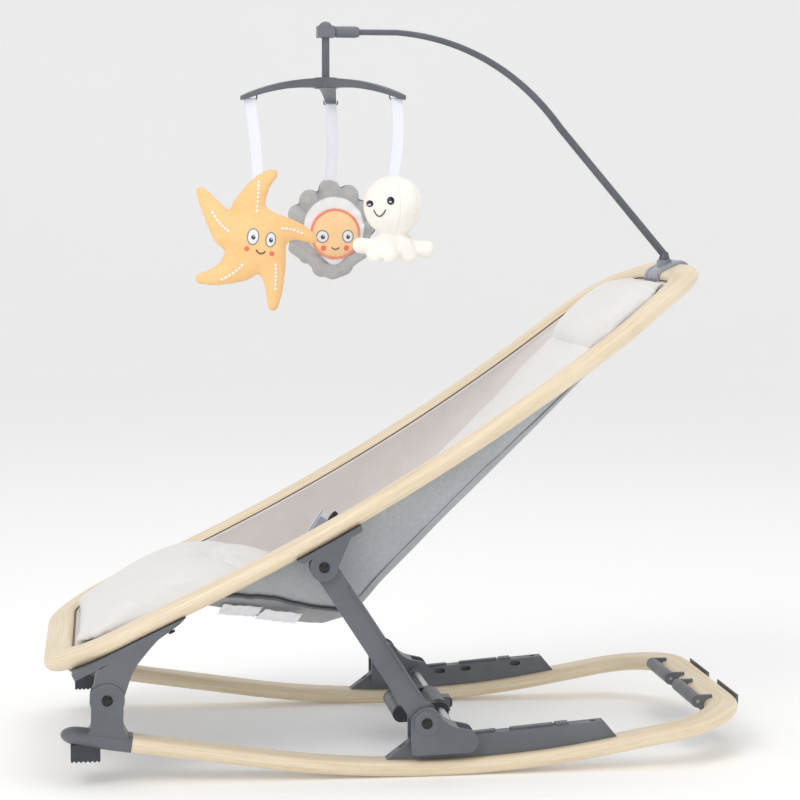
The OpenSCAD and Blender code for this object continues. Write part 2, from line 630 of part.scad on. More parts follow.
// A pad lies on the liner's own grid of points, from row k0 to k1, and is thickest in its middle
pad_gap = 0.5;
pad_edge_t = 3;
liner_inset = bag_t + liner_gap + liner_t;
function liner_d(s, y) =
    (bag_d(s) - liner_inset)*wall(min(1, abs(y)/(inner_half(s) - liner_inset)), 8);
function liner_point(k, v, rise) =
    let (s = mix(bag_s[0], bag_s[1], k/bag_n))
    let (si = mix(bag_s[0] + liner_inset, bag_s[1] - liner_inset, k/bag_n))
    seat_point(si, v*(inner_half(s) - liner_inset), (bag_d(s) - liner_inset)*wall(v, 8) - rise);
module pad(k0, k1, columns, t0, t1) {
    half = sin(90*columns/v_n);
    across = [for (k = [-columns:columns]) sin(90*k/v_n)];
    function rise(k, v) = let (u = (k - k0)/(k1 - k0))
        pad_gap + pad_edge_t + mix(t0, t1, u)*wall(2*u - 1, 6)*wall(v/half, 4);
    sheet([for (k = [k0:k1]) [for (v = across) liner_point(k, v, rise(k, v))]],
        [for (k = [k0:k1]) [for (v = across) liner_point(k, v, pad_gap)]]);
}
module leg_pad() color(cream_fabric) place() pad(1, 10, 5, 22, 30);
module back_pad() color(cream_fabric) place() pad(13, 27, 4, 6, 6);
module head_pillow() color(cream_fabric) place() pad(28, 33, 4, 24, 16);

// ---- Harness --------------------------------------------------------------------------
strap_t = 2;
strap_rise = 4.5;
module strap(s0, s1, y0, y1, rise, n = 6) {
    rows = [for (k = [0:n]) mix(s0, s1, k/n)];
    across = [for (j = [0:2]) mix(y0, y1, j/2)];
    sheet([for (s = rows) [for (y = across) seat_point(s, y, liner_d(s, y) - rise - strap_t)]],
        [for (s = rows) [for (y = across) seat_point(s, y, liner_d(s, y) - rise)]]);
}
module crotch_strap() color(cream_fabric) place() strap(-126, -92, -14, 14, strap_rise);
buckle_s = -78;
module at_seat(s, y, rise) let (q = seat_point(s, y, liner_d(s, y) - rise))
    translate(q) rotate([0, -rim_angle(s) , 0]) children();
module harness_buckle() color(dark_plastic) place() at_seat(buckle_s, 0, strap_rise + strap_t + 1)
    linear_extrude(8) polygon(rounded([[-10, -22, 6], [10, -22, 6], [10, 22, 6], [-10, 22, 6]]));
module waist_strap(right) color(cream_fabric) place() side(right)
    strap(-98, -74, -140, -26, strap_rise);
module waist_strap_left() waist_strap(false);
module waist_strap_right() waist_strap(true);

// ---- Toy bar --------------------------------------------------------------------------
clamp_half = 13;
clamp_t = 4;
rod_foot_r = 4;
clamp_at = under_rim(rim_head_s, 0);
rod_foot = [clamp_at[0] - 4, clamp_at[1] + 17];
rod_foot_l = 14;
module toy_clamp() color(grey_plastic) place() difference() {
    union() {
        plate(-clamp_half, clamp_half) translate(clamp_at) rotate(rim_angle(rim_head_s))
            polygon(oval(rim_bar_w + 2*clamp_t, rim_bar_h + 2*clamp_t));
        translate([rod_foot[0], 0, rod_foot[1] - rod_foot_l]) cylinder(h = rod_foot_l, r = 9);
    }
    plate(-20, 20) translate(clamp_at) rotate(rim_angle(rim_head_s))
        polygon(oval(rim_bar_w + 0.1, rim_bar_h + 0.1));
    translate([rod_foot[0], 0, rod_foot[1] - 5]) cylinder(h = 20, r = rod_foot_r + running_gap);
}
module clamp_screw() color(steel) place() translate(seat_point(rim_head_s, 0, rim_bar_h/2 + clamp_t))
    rotate([0, -rim_angle(rim_head_s), 0]) translate([0, 0, -2]) cylinder(h = 2, r = 4);

// The rod rises straight from its foot and curves over to the mobile
rod_bend = [[228, 720], [183, 782], [116, 824], [34, 829.5]];
rod_end = [-14, mobile_hub[1]];
rod_r = [4.6, 3.4];
rod_n = 22;
function bezier(p, t) = pow(1 - t, 3)*p[0] + 3*t*pow(1 - t, 2)*p[1] + 3*t*t*(1 - t)*p[2] + t*t*t*p[3];
rod_line = concat(
    [for (k = [0:4]) mix([rod_foot[0], rod_foot[1] + 6], rod_bend[0], k/5)],
    [for (k = [0:rod_n]) bezier(rod_bend, k/rod_n)],
    [rod_end]);
function line_angle(p, i) =
    let (a = p[max(0, i - 1)], b = p[min(len(p) - 1, i + 1)]) atan2(b[1] - a[1], b[0] - a[0]);
module toy_rod() color(grey_plastic) place() {
    skin([for (i = [0:len(rod_line) - 1])
        let (p = rod_line[i], a = line_angle(rod_line, i), r = mix(rod_r[0], rod_r[1], i/(len(rod_line) - 1)))
        [for (k = [0:11]) [p[0] - r*cos(30*k)*sin(a), r*sin(30*k), p[1] + r*cos(30*k)*cos(a)]]]);
    translate([rod_foot[0], 0, rod_foot[1] + 0.3]) cylinder(h = 9, r1 = 7, r2 = 4.5);
    translate([rod_foot[0], 0, rod_foot[1] - 4.6]) cylinder(h = 8, r = rod_foot_r);
}

hub_half = 10;
hub_h = 13;
sleeve_end = -10;
post_r = 4.5;
post_bore_r = post_r + running_gap;
module rod_hub() color(grey_plastic) place() difference() {
    union() {
        translate([mobile_hub[0] - hub_half, -hub_half, mobile_hub[1] - hub_h/2])
            cube([2*hub_half, 2*hub_half, hub_h]);
        translate([mobile_hub[0], 0, mobile_hub[1] + hub_h/2 - 3]) sphere(8.5);
        translate([mobile_hub[0] + hub_half - 1, 0, mobile_hub[1]]) rotate([0, 90, 0])
            rotate_extrude() polygon([[0, 0], [5.5, 0], [6.6, 4], [6.6, 26], [5.4, 30], [0, 30]]);
    }
    translate([mobile_hub[0], 0, mobile_hub[1] - hub_h]) cylinder(h = hub_h + 6, r = post_bore_r);
    translate([-38, 0, mobile_hub[1]]) rotate([0, 90, 0]) cylinder(h = 40, r = rod_r[1] + 0.3);
}

// ---- Mobile: three drooping arms on a post --------------------------------------------
arm_top_z = 776;
arm_drop = 22;
arm_t = [11, 5];
arm_w = [22, 13];
arm_start = 4;
arm_boss_r = 13;
function arm_top(t) = arm_top_z - arm_drop*t*t;
post_top = mobile_hub[1] - hub_h/2 + 11;
module mobile_arms() color(grey_plastic) place() translate([mobile_hub[0], 0, 0]) {
    translate([0, 0, arm_top_z - 6]) cylinder(h = post_top - arm_top_z + 6, r = post_r);
    translate([0, 0, arm_top_z - arm_t[0] - 0.7]) cylinder(h = arm_t[0] + 1.5, r = arm_boss_r);
    for (a = [90, 210, 330]) rotate([0, 0, a + mobile_turn]) intersection() {
        plate(-20, 20) polygon(concat(
            [for (k = [0:8]) [mix(arm_start, arm_length, k/8), arm_top(k/8)]],
            [for (k = [8:-1:0])
                [mix(arm_start, arm_length, k/8), arm_top(k/8) - mix(arm_t[0], arm_t[1], k/8)]]));
        translate([0, 0, 700]) linear_extrude(100) polygon([[0, -arm_w[0]/2], [arm_length - 8, -arm_w[1]/2],
            [arm_length + 1, -arm_w[1]/2 + 3], [arm_length + 1, arm_w[1]/2 - 3],
            [arm_length - 8, arm_w[1]/2], [0, arm_w[0]/2]]);
    }
}

// ---- Toys: each hangs from a ribbon under an arm's tip ---------------------------------
ribbon_reach = 97;
ribbon_top = 749.6;
ribbon_w = 13;
ribbon_t = 1.2;
function arm_tip(a) = [mobile_hub[0] + ribbon_reach*cos(a + mobile_turn), ribbon_reach*sin(a + mobile_turn)];
star_at = arm_tip(210);
clam_at = arm_tip(90);
octopus_at = arm_tip(330);
module ribbon(at, foot_x, foot_z) plate(at[1] - ribbon_t/2, at[1] + ribbon_t/2) polygon([
    [at[0] - ribbon_w/2, ribbon_top], [foot_x - ribbon_w/2, foot_z],
    [foot_x + ribbon_w/2, foot_z], [at[0] + ribbon_w/2, ribbon_top]]);

star_middle = [-131, 591];
star_half = 17;
// Tips and notches of the starfish, as angle and radius
star_ring = [[0, 79], [55, 33], [76, 90], [124, 42], [141, 96], [197, 42], [214.5, 96], [264, 44],
    [281.5, 99], [343, 34]];
module starfish() color([0.98, 0.78, 0.5]) place() plate(star_at[1] - star_half, star_at[1] + star_half)
    translate(star_middle) polygon(rounded([
        for (k = [0:9]) let (q = star_ring[k][1]*along(star_ring[k][0])) [q[0], q[1], k % 2 == 0 ? 6 : 10]]));
module starfish_ribbon() color(ribbon_white) place() ribbon(star_at, star_middle[0] + 4, star_middle[1] + 48);

clam_middle = [-33, 604];
clam_half = 11;
clam_r = 51;
clam_wave = 4;
pearl_middle = [-26, 594];
pearl_r = 30;
module clam_shell() color([0.64, 0.64, 0.65]) place() plate(clam_at[1] - clam_half, clam_at[1] + clam_half) {
    translate(clam_middle) polygon([for (k = [0:71]) (clam_r + clam_wave*sin(45*k))*along(5*k)]);
    translate(clam_middle) polygon([[-24, -62], [24, -62], [34, -30], [-34, -30]]);
}
module clam_pearl() color([0.98, 0.8, 0.62]) place()
    translate([pearl_middle[0], clam_at[1] - clam_half, pearl_middle[1]]) rotate([90, 0, 0])
        rotate_extrude() polygon([[0, 0], [pearl_r, 0], [pearl_r - 1, 4], [pearl_r - 8, 10],
            [pearl_r - 18, 13], [0, 14]]);
module clam_ribbon() color(ribbon_white) place() ribbon(clam_at, clam_middle[0], clam_middle[1] + 44);

octopus_head_z = 631;
octopus_head_r = 33;
octopus_legs = 6;
octopus_leg_l = 40;
octopus_leg_r = 9;
module octopus() color([0.95, 0.94, 0.9]) place() translate([octopus_at[0] - 4, octopus_at[1], 0]) {
    translate([0, 0, octopus_head_z]) sphere(octopus_head_r);
    for (k = [0:octopus_legs - 1]) translate([0, 0, octopus_head_z - 32]) rotate([0, 0, 360*k/octopus_legs])
        rotate([0, 122, 0]) rotate_extrude() polygon(concat([[0, 0], [octopus_leg_r, 0]],
            [for (a = [0:15:90]) [octopus_leg_r*cos(a), octopus_leg_l + octopus_leg_r*sin(a)]]));
}
module octopus_ribbon() color(ribbon_white) place()
    ribbon(octopus_at, octopus_at[0] - 4, octopus_head_z + 28);

base_frame();
front_cap_left();
front_cap_right();
front_foot_left();
front_foot_right();
slide_rail_left();
slide_rail_right();
rail_screws();
front_pivot_bolts();
stop_hinge_left();
stop_hinge_right();
stop_hinge_pins();
rear_stop_left();
rear_stop_right();
seat_rim();
front_bracket_left();
front_bracket_right();
mid_bracket_left();
mid_bracket_right();
bracket_screws();
mid_pivot_bolts();
seat_shell();
seat_liner();
leg_pad();
back_pad();
head_pillow();
crotch_strap();
waist_strap_left();
waist_strap_right();
harness_buckle();
strut_left();
strut_right();
carriage_left();
carriage_right();
carriage_pivot_bolts();
cross_tube_bar();
latch_springs();
latch_bolt_left();
latch_bolt_right();
handle_housing();
release_grip();
grip_sleeve();
lock_button();
toy_clamp();
clamp_screw();
toy_rod();
rod_hub();
mobile_arms();
starfish();
starfish_ribbon();
clam_shell();
clam_pearl();
clam_ribbon();
octopus();
octopus_ribbon();
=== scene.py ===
"""Baby bouncer seat: what it looks like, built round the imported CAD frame.

Sizes in the code are millimetres in the CAD source's own axes; row() turns them into the frame's metres.
"""

import json
from math import asin, atan2, ceil, cos, dist, exp, hypot, pi, radians, sin, sqrt, tan

import bmesh
import bpy
import numpy as np
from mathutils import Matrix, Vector, noise
from mathutils.bvhtree import BVHTree


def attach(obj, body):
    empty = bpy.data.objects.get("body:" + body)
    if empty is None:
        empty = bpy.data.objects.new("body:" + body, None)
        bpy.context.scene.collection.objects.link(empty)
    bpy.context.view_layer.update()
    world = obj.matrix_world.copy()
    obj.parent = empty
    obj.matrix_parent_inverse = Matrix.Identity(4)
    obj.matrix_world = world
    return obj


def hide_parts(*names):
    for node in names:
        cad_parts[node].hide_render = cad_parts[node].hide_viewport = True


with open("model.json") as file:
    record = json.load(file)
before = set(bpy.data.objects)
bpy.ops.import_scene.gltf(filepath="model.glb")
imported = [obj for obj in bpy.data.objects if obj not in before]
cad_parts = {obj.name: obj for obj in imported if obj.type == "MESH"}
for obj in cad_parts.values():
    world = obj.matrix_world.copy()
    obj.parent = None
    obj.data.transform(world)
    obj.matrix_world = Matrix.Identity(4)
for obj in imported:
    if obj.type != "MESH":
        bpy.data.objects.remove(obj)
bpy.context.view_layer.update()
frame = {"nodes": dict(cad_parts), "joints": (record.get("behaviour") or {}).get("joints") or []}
PIVOT_X = -308
RECLINE = next(j for j in frame["joints"] if j["name"] == "seat_recline")
SHIFT = PIVOT_X - 1000 * RECLINE["pos_m"][0]
SIDES = (("left", -1), ("right", 1))


def row(x, y, z):
    """The point of the frame, in metres, at x, y and z in millimetres of the CAD source."""
    return Vector(((x - SHIFT) / 1000, y / 1000, z / 1000))


def back_to_mm(point):
    """The millimetres of a point of the frame."""
    return point.x * 1000 + SHIFT, point.y * 1000, point.z * 1000


def unit(x):
    """x, held between 0 and 1."""
    return max(0.0, min(1.0, x))


def bell(x, width):
    return exp(-((x / width) ** 2))


def turns(n):
    """n even turns round a circle."""
    return [2 * pi * k / n for k in range(n)]


def spread(k, n):
    """Step k of n from -1 to 1, with the steps closer together towards the ends."""
    return sin(radians(90 * (2 * k / n - 1)))


# ---- Camera ---------------------------------------------------------------------------------
CAMERA_AT, CAMERA_LENS = (-305.8, -2679.5, 630.9), 103.5
CAMERA_TURN, CAMERA_DIP = radians(7.31), radians(4.87)


def placed(name, data, spot, look):
    """A new object in the scene at spot, facing the way look points."""
    obj = bpy.data.objects.new(name, data)
    bpy.context.scene.collection.objects.link(obj)
    obj.location = spot
    obj.rotation_mode = "QUATERNION"
    obj.rotation_quaternion = look.to_track_quat("-Z", "Y")
    return obj


def make_camera():
    data = bpy.data.cameras.new("camera")
    level = cos(CAMERA_DIP)
    look = Vector((sin(CAMERA_TURN) * level, cos(CAMERA_TURN) * level, -sin(CAMERA_DIP)))
    data.sensor_width, data.lens = 36, CAMERA_LENS
    data.clip_start, data.clip_end = 0.1, 50
    bpy.context.scene.camera = placed("camera", data, row(*CAMERA_AT), look)


make_camera()


# ---- Shapes of the frame --------------------------------------------------------------------
ROCKER_R, ROCKER_X = 1175, 45
FRONT_RISE, REAR_RISE = radians(8.65), radians(9.65)
BAR_W, BAR_H = 38, 17
FRONT_END = (ROCKER_X - ROCKER_R * sin(FRONT_RISE), BAR_H / 2 + ROCKER_R * (1 - cos(FRONT_RISE)))
REAR_END = (ROCKER_X + ROCKER_R * sin(REAR_RISE), BAR_H / 2 + ROCKER_R * (1 - cos(REAR_RISE)))


def base_angle(x):
    """The rocker's slope: a round middle between two straight ends."""
    if x < FRONT_END[0]:
        return -FRONT_RISE
    if x > REAR_END[0]:
        return REAR_RISE
    return asin((x - ROCKER_X) / ROCKER_R)


def base_z(x):
    if x < FRONT_END[0]:
        return FRONT_END[1] + (FRONT_END[0] - x) * tan(FRONT_RISE)
    if x > REAR_END[0]:
        return REAR_END[1] + (x - REAR_END[0]) * tan(REAR_RISE)
    return BAR_H / 2 + ROCKER_R * (1 - cos(base_angle(x)))


RIM_W, RIM_H, RIM_HALF = 36, 18, 188
RIM_FOOT, RIM_HEAD, FOOT_R, HEAD_R = -390, 446, 75, 130
FOOT_ARC, FOOT_ARC_R, HEAD_ARC, HEAD_ARC_R, RIM_R = -240, 3500, 355, 400, 2606
SEAT_X, SEAT_Z, SEAT_SLOPE = -13, 302.6, radians(30)


def rim_angle(s):
    """The seat's slope at s along it; three arcs meet end to end."""
    if s < FOOT_ARC:
        return rim_angle(FOOT_ARC) + (FOOT_ARC - s) / FOOT_ARC_R
    if s > HEAD_ARC:
        return rim_angle(HEAD_ARC) - (s - HEAD_ARC) / HEAD_ARC_R
    return SEAT_SLOPE + s / RIM_R


def arc_step(r, a, b):
    return r * (sin(b) - sin(a)), r * (cos(a) - cos(b))


def rim_point(s):
    if s < FOOT_ARC:
        x, z = rim_point(FOOT_ARC)
        dx, dz = arc_step(FOOT_ARC_R, rim_angle(FOOT_ARC), rim_angle(s))
        return x - dx, z - dz
    if s > HEAD_ARC:
        x, z = rim_point(HEAD_ARC)
        dx, dz = arc_step(HEAD_ARC_R, rim_angle(HEAD_ARC), rim_angle(s))
        return x - dx, z - dz
    dx, dz = arc_step(RIM_R, SEAT_SLOPE, rim_angle(s))
    return SEAT_X + dx, SEAT_Z + dz


def seat_at(s, y, d):
    """The point d below the rim's middle surface, at s along it and y across."""
    x, z = rim_point(s)
    a = rim_angle(s)
    return x + d * sin(a), y, z - d * cos(a)


def oval(w, h, n=16):
    """A flat oval's outline, counter-clockwise."""
    return [
        ((1 - 2 * end) * (w - h) / 2 + h / 2 * cos(a), h / 2 * sin(a))
        for end in (0, 1)
        for a in (radians(-90 + 180 * end + 180 * k / n) for k in range(n + 1))
    ]


def straight(u0, y0, u1, y1, pitch=9.0):
    n = max(1, round(hypot(u1 - u0, y1 - y0) / pitch))
    d = (u1 - u0, y1 - y0)
    size = hypot(*d)
    return [(u0 + d[0] * k / n, y0 + d[1] * k / n, d[0] / size, d[1] / size) for k in range(n)]


def bend(u, y, r, a0, n=20):
    return [
        (u + r * cos(a), y + r * sin(a), -sin(a), cos(a))
        for a in (radians(a0 + 90 * k / n) for k in range(n))
    ]


def bar_frame(point, y, a, du, dy):
    """A bar's centre, its across and its up directions, on a surface that slopes at angle a."""
    run = Vector((du * cos(a), dy, du * sin(a)))
    up = Vector((-sin(a), 0, cos(a)))
    return Vector((point[0], y, point[1])), run.cross(up).normalized(), up


# ---- Making meshes --------------------------------------------------------------------------
def smooth_mesh(mesh, degrees=40):
    mesh.shade_smooth()
    mesh.set_sharp_from_angle(angle=radians(degrees))


def piece(name, verts, faces, body, look, replaces=(), uv=None, grain=None, sharp=60):
    """A new mesh piece on a body. verts are millimetres; uv and grain are given for each vertex."""
    mesh = bpy.data.meshes.new(name)
    mesh.from_pydata([tuple(row(*v)) for v in verts], [], faces)
    mesh.validate()
    if uv is not None:
        layer = mesh.uv_layers.new(name="UVMap")
        for loop in mesh.loops:
            layer.data[loop.index].uv = uv[loop.vertex_index]
    if grain is not None:
        attribute = mesh.attributes.new("grain", "FLOAT_VECTOR", "POINT")
        attribute.data.foreach_set("vector", np.array(grain, np.float32).ravel())
    smooth_mesh(mesh, sharp)
    obj = bpy.data.objects.new(name, mesh)
    bpy.context.scene.collection.objects.link(obj)
    mesh.materials.append(MAT[look])
    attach(obj, body)
    if replaces:
        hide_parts(*replaces)
    return obj


def outward(obj, merge=0.0):
    """Turns every face of a closed piece outward, after joining points closer than merge metres."""
    bm = bmesh.new()
    bm.from_mesh(obj.data)
    if merge:
        bmesh.ops.remove_doubles(bm, verts=bm.verts, dist=merge)
    bmesh.ops.recalc_face_normals(bm, faces=bm.faces)
    bm.to_mesh(obj.data)
    bm.free()
    return obj


def read_points(mesh):
    points = np.zeros(len(mesh.vertices) * 3)
    mesh.vertices.foreach_get("co", points)
    return points.reshape(-1, 3)


def write_points(mesh, points):
    mesh.vertices.foreach_set("co", points.ravel())
    mesh.update()


def modify(obj, kind, **settings):
    """Adds a modifier with these settings."""
    mod = obj.modifiers.new(kind.lower(), kind)
    for key, value in settings.items():
        setattr(mod, key, value)
    return mod


def apply_modifiers(obj):
    """Puts the modifiers' result into the mesh."""
    bpy.context.view_layer.update()
    evaluated = obj.evaluated_get(bpy.context.evaluated_depsgraph_get())
    mesh = bpy.data.meshes.new_from_object(evaluated)
    obj.modifiers.clear()
    old = obj.data
    obj.data = mesh
    mesh.name = obj.name
    bpy.data.meshes.remove(old)
    return obj


def grid_faces(n, m, closed_n=False, closed_m=False):
    """The faces of a grid of n rows of m points."""
    out = []
    for i in range(n if closed_n else n - 1):
        for j in range(m if closed_m else m - 1):
            a, b = i * m + j, i * m + (j + 1) % m
            c, d = ((i + 1) % n) * m + (j + 1) % m, ((i + 1) % n) * m + j
            out.append((a, b, c, d))
    return out


def tree_of(*objs):
    """A tree of every face of the pieces, for finding where lines meet them."""
    points, polygons = [], []
    for obj in objs:
        base = len(points)
        points += [v.co.copy() for v in obj.data.vertices]
        polygons += [tuple(base + i for i in p.vertices) for p in obj.data.polygons]
    return BVHTree.FromPolygons(points, polygons)


def end_caps(n, m):
    """The two faces that close a row of n rings of m points."""
    return [tuple(range(m))[::-1], tuple((n - 1) * m + j for j in range(m))]


def sweep_bar(name, path, place, angle, outline, closed, body, node):
    """A wooden bar swept along a path of (x or s, y, and the way it runs). place and angle give its height and
    slope there. Its grain coordinates are kept: along, across and up, in metres."""
    verts, grain = [], []
    length, last = 0.0, None
    for x, y, dx, dy in path:
        centre, across, up = bar_frame(place(x), y, angle(x), dx, dy)
        if last is not None:
            length += (centre - last).length
        last = centre
        for q in outline:
            verts.append(tuple(centre + across * q[0] + up * q[1]))
            grain.append((length / 1000, q[0] / 1000, q[1] / 1000))
    n, m = len(path), len(outline)
    faces = grid_faces(n, m, closed, True) + ([] if closed else end_caps(n, m))
    outward(piece(name, verts, faces, body, "wood", [node], grain=grain, sharp=50))


def tube(name, points, radius, body, look, ring=14, closed=False, flat=1.0):
    """A round tube along points; radius is one number or one for each point."""
    pts = [Vector(p) for p in points]
    n = len(pts)
    radii = radius if hasattr(radius, "__len__") else [radius] * n
    verts = []
    side = None
    for i, p in enumerate(pts):
        a = pts[i - 1] if (i > 0 or closed) else p
        b = pts[(i + 1) % n] if (i < n - 1 or closed) else p
        run = (b - a).normalized()
        if side is None:
            side = run.orthogonal().normalized()
        side = (side - run * side.dot(run)).normalized()
        other = run.cross(side)
        for t in turns(ring):
            verts.append(tuple(p + side * (radii[i] * cos(t)) + other * (radii[i] * flat * sin(t))))
    faces = grid_faces(n, ring, closed, True) + ([] if closed else end_caps(n, ring))
    return outward(piece(name, verts, faces, body, look))


# ---- Materials ------------------------------------------------------------------------------
def srgb(r, g, b):
    def one(c):
        c /= 255
        return c / 12.92 if c <= 0.04045 else ((c + 0.055) / 1.055) ** 2.4

    return one(r), one(g), one(b), 1.0


class Maker:
    """Builds one node material."""

    def __init__(self, name, rough=0.5, colour=(200, 200, 200), **sockets):
        self.mat = bpy.data.materials.new(name)
        self.mat.use_nodes = True
        self.nodes, self.links = self.mat.node_tree.nodes, self.mat.node_tree.links
        self.shader = self.nodes["Principled BSDF"]
        self.set("Roughness", rough)
        self.set("Base Color", srgb(*colour))
        for key, value in sockets.items():
            self.set(key.replace("_", " "), value)
        self.mat.diffuse_color = srgb(*colour)

    def set(self, socket, value):
        self.shader.inputs[socket].default_value = value

    def node(self, kind, inputs=None, **settings):
        """A node; each input is given a value or another node's output."""
        n = self.nodes.new(kind)
        for key, value in settings.items():
            setattr(n, key, value)
        for key, value in (inputs or {}).items():
            if isinstance(value, bpy.types.NodeSocket):
                self.links.new(value, n.inputs[key])
            else:
                n.inputs[key].default_value = value
        return n

    def to(self, socket, value):
        self.links.new(value, self.shader.inputs[socket])

    def coords(self, kind="Object"):
        if kind == "grain":
            return self.node("ShaderNodeAttribute", attribute_name="grain").outputs["Vector"]
        return self.node("ShaderNodeTexCoord").outputs[kind]

    def stretched(self, vector, scale):
        return self.node("ShaderNodeMapping", {"Vector": vector, "Scale": scale}).outputs["Vector"]

    def noise(self, vector, scale=5.0, detail=3.0, rough=0.5, distortion=0.0):
        return self.node("ShaderNodeTexNoise", {"Vector": vector, "Scale": scale, "Detail": detail,
                                                "Roughness": rough, "Distortion": distortion}).outputs["Fac"]

    def ramp(self, factor, stops):
        n = self.node("ShaderNodeValToRGB", {"Fac": factor})
        while len(n.color_ramp.elements) < len(stops):
            n.color_ramp.elements.new(0.5)
        for element, (place, colour) in zip(n.color_ramp.elements, stops):
            element.position = place
            element.color = srgb(*colour)
        return n.outputs["Color"]

    def remap(self, value, lo, hi, a=0.0, b=1.0):
        return self.node("ShaderNodeMapRange", {"Value": value, "From Min": lo, "From Max": hi, "To Min": a,
                                                "To Max": b}).outputs["Result"]

    def maths(self, operation, a, b=0.0):
        return self.node("ShaderNodeMath", {0: a, 1: b}, operation=operation).outputs[0]

    def blend(self, factor, a, b):
        return self.node("ShaderNodeMix", {0: factor, 6: a, 7: b}, data_type="RGBA").outputs[2]

    def bump(self, height, strength=0.3, distance=0.0005, below=None):
        n = self.node("ShaderNodeBump", {"Height": height, "Strength": strength, "Distance": distance})
        if below is not None:
            self.links.new(below, n.inputs["Normal"])
        return n.outputs["Normal"]


def wood_material():
    m = Maker("bent_wood", rough=0.42, colour=(222, 202, 168), Coat_Weight=0.12, Coat_Roughness=0.25)
    g = m.coords("grain")
    broad = m.noise(m.stretched(g, (5, 42, 60)), 1.0, 4, 0.55, 0.6)
    streak = m.noise(m.stretched(g, (9, 330, 420)), 1.0, 5, 0.6, 0.3)
    pores = m.noise(m.stretched(g, (60, 1500, 1700)), 1.0, 2, 0.6)
    up = m.node("ShaderNodeSeparateXYZ", {"Vector": g}).outputs["Z"]
    wander = m.maths("MULTIPLY", m.noise(m.stretched(g, (3, 20, 20)), 1.0, 2), 0.0012)
    layers = m.node("ShaderNodeTexWave", {"Vector": m.node("ShaderNodeCombineXYZ", {
        "X": m.maths("ADD", up, wander)}).outputs["Vector"], "Scale": 105.0, "Distortion": 0.0},
        wave_type="BANDS", bands_direction="X", wave_profile="SIN").outputs["Fac"]
    tone = m.ramp(broad, [(0.3, (230, 211, 179)), (0.55, (239, 224, 197)), (0.75, (225, 204, 170))])
    tone = m.blend(m.remap(streak, 0.42, 0.7, 0.0, 0.42), tone, srgb(205, 180, 141))
    tone = m.blend(m.remap(pores, 0.58, 0.76, 0.0, 0.4), tone, srgb(172, 144, 106))
    tone = m.blend(m.remap(layers, 0.8, 1.0, 0.0, 0.09), tone, srgb(190, 163, 122))
    m.to("Base Color", tone)
    m.to("Roughness", m.remap(streak, 0.3, 0.7, 0.36, 0.5))
    m.to("Normal", m.bump(m.maths("ADD", streak, m.maths("MULTIPLY", pores, 0.6)), 0.12, 0.0004))
    return m.mat


def plastic_material(name, colour, rough=0.46, grain=0.18, worn=4):
    m = Maker(name, rough=rough, colour=colour)
    o = m.coords()
    cloud = m.noise(o, 22.0, 3)
    speck = m.noise(o, 1400, 2)
    lift = tuple(min(255, c + worn) for c in colour)
    drop = tuple(max(0, c - worn) for c in colour)
    m.to("Base Color", m.ramp(cloud, [(0.35, drop), (0.65, lift)]))
    m.to("Roughness", m.remap(m.noise(o, 60.0, 4), 0.3, 0.7, rough - 0.07, rough + 0.09))
    m.to("Normal", m.bump(speck, grain, 0.0002))
    return m.mat


def metal_material(name, colour, rough=0.3):
    m = Maker(name, rough=rough, colour=colour, Metallic=1.0)
    o = m.coords()
    lines = m.noise(m.stretched(o, (2500, 60, 2500)), 1.0, 2)
    m.to("Roughness", m.remap(lines, 0.3, 0.7, rough - 0.08, rough + 0.12))
    m.to("Normal", m.bump(lines, 0.08, 0.0001))
    return m.mat


def woven_material(name, light, dark, pitch=0.9, melange=0.6, sheen=0.25, rough=0.85, depth=0.35):
    """A plain weave, from the piece's UV in metres, with flecked yarn."""
    m = Maker(name, rough=rough, colour=light, Sheen_Weight=sheen, Sheen_Roughness=0.5)
    uv = m.coords("UV")
    o = m.coords()
    scale = 314.159 / pitch
    yarn = {"Vector": uv, "Scale": scale, "Distortion": 0.6, "Detail": 1.0}
    warp, weft = (m.node("ShaderNodeTexWave", yarn, wave_type="BANDS", bands_direction=way).outputs["Fac"]
                  for way in "XY")
    yarn_a = m.noise(m.stretched(uv, (130, 900, 1)), 1.0, 3, 0.65)
    yarn_b = m.noise(m.stretched(uv, (900, 130, 1)), 1.0, 3, 0.65)
    fleck = m.maths("MULTIPLY", m.maths("ADD", yarn_a, yarn_b), 0.5)
    cloud = m.noise(o, 14.0, 2)
    tone = m.ramp(m.maths("ADD", m.maths("MULTIPLY", fleck, 0.8), m.maths("MULTIPLY", cloud, 0.2)),
                  [(0.5 - 0.2 * melange, dark), (0.5 + 0.2 * melange, light)])
    m.to("Base Color", tone)
    weave = m.maths("MAXIMUM", warp, weft)
    m.to("Normal", m.bump(m.maths("ADD", weave, m.maths("MULTIPLY", fleck, 0.8)), depth, 0.0003))
    return m.mat


def soft_material(name, light, dark, sheen=0.35, pile=900.0, depth=0.3, rough=0.9):
    """Brushed knit or plush: short pile that catches the light at its edges."""
    m = Maker(name, rough=rough, colour=light, Sheen_Weight=sheen, Sheen_Roughness=0.45)
    o = m.coords()
    cloud = m.noise(o, 35.0, 4, 0.6)
    tuft = m.noise(o, pile, 3, 0.7)
    nap = m.noise(o, pile / 4, 3, 0.6, 0.5)
    tone = m.maths("ADD", m.maths("MULTIPLY", cloud, 0.55), m.maths("MULTIPLY", nap, 0.45))
    m.to("Base Color", m.ramp(tone, [(0.36, dark), (0.62, light)]))
    m.to("Normal", m.bump(tuft, depth, 0.0006, m.bump(nap, depth * 0.7, 0.0012)))
    return m.mat


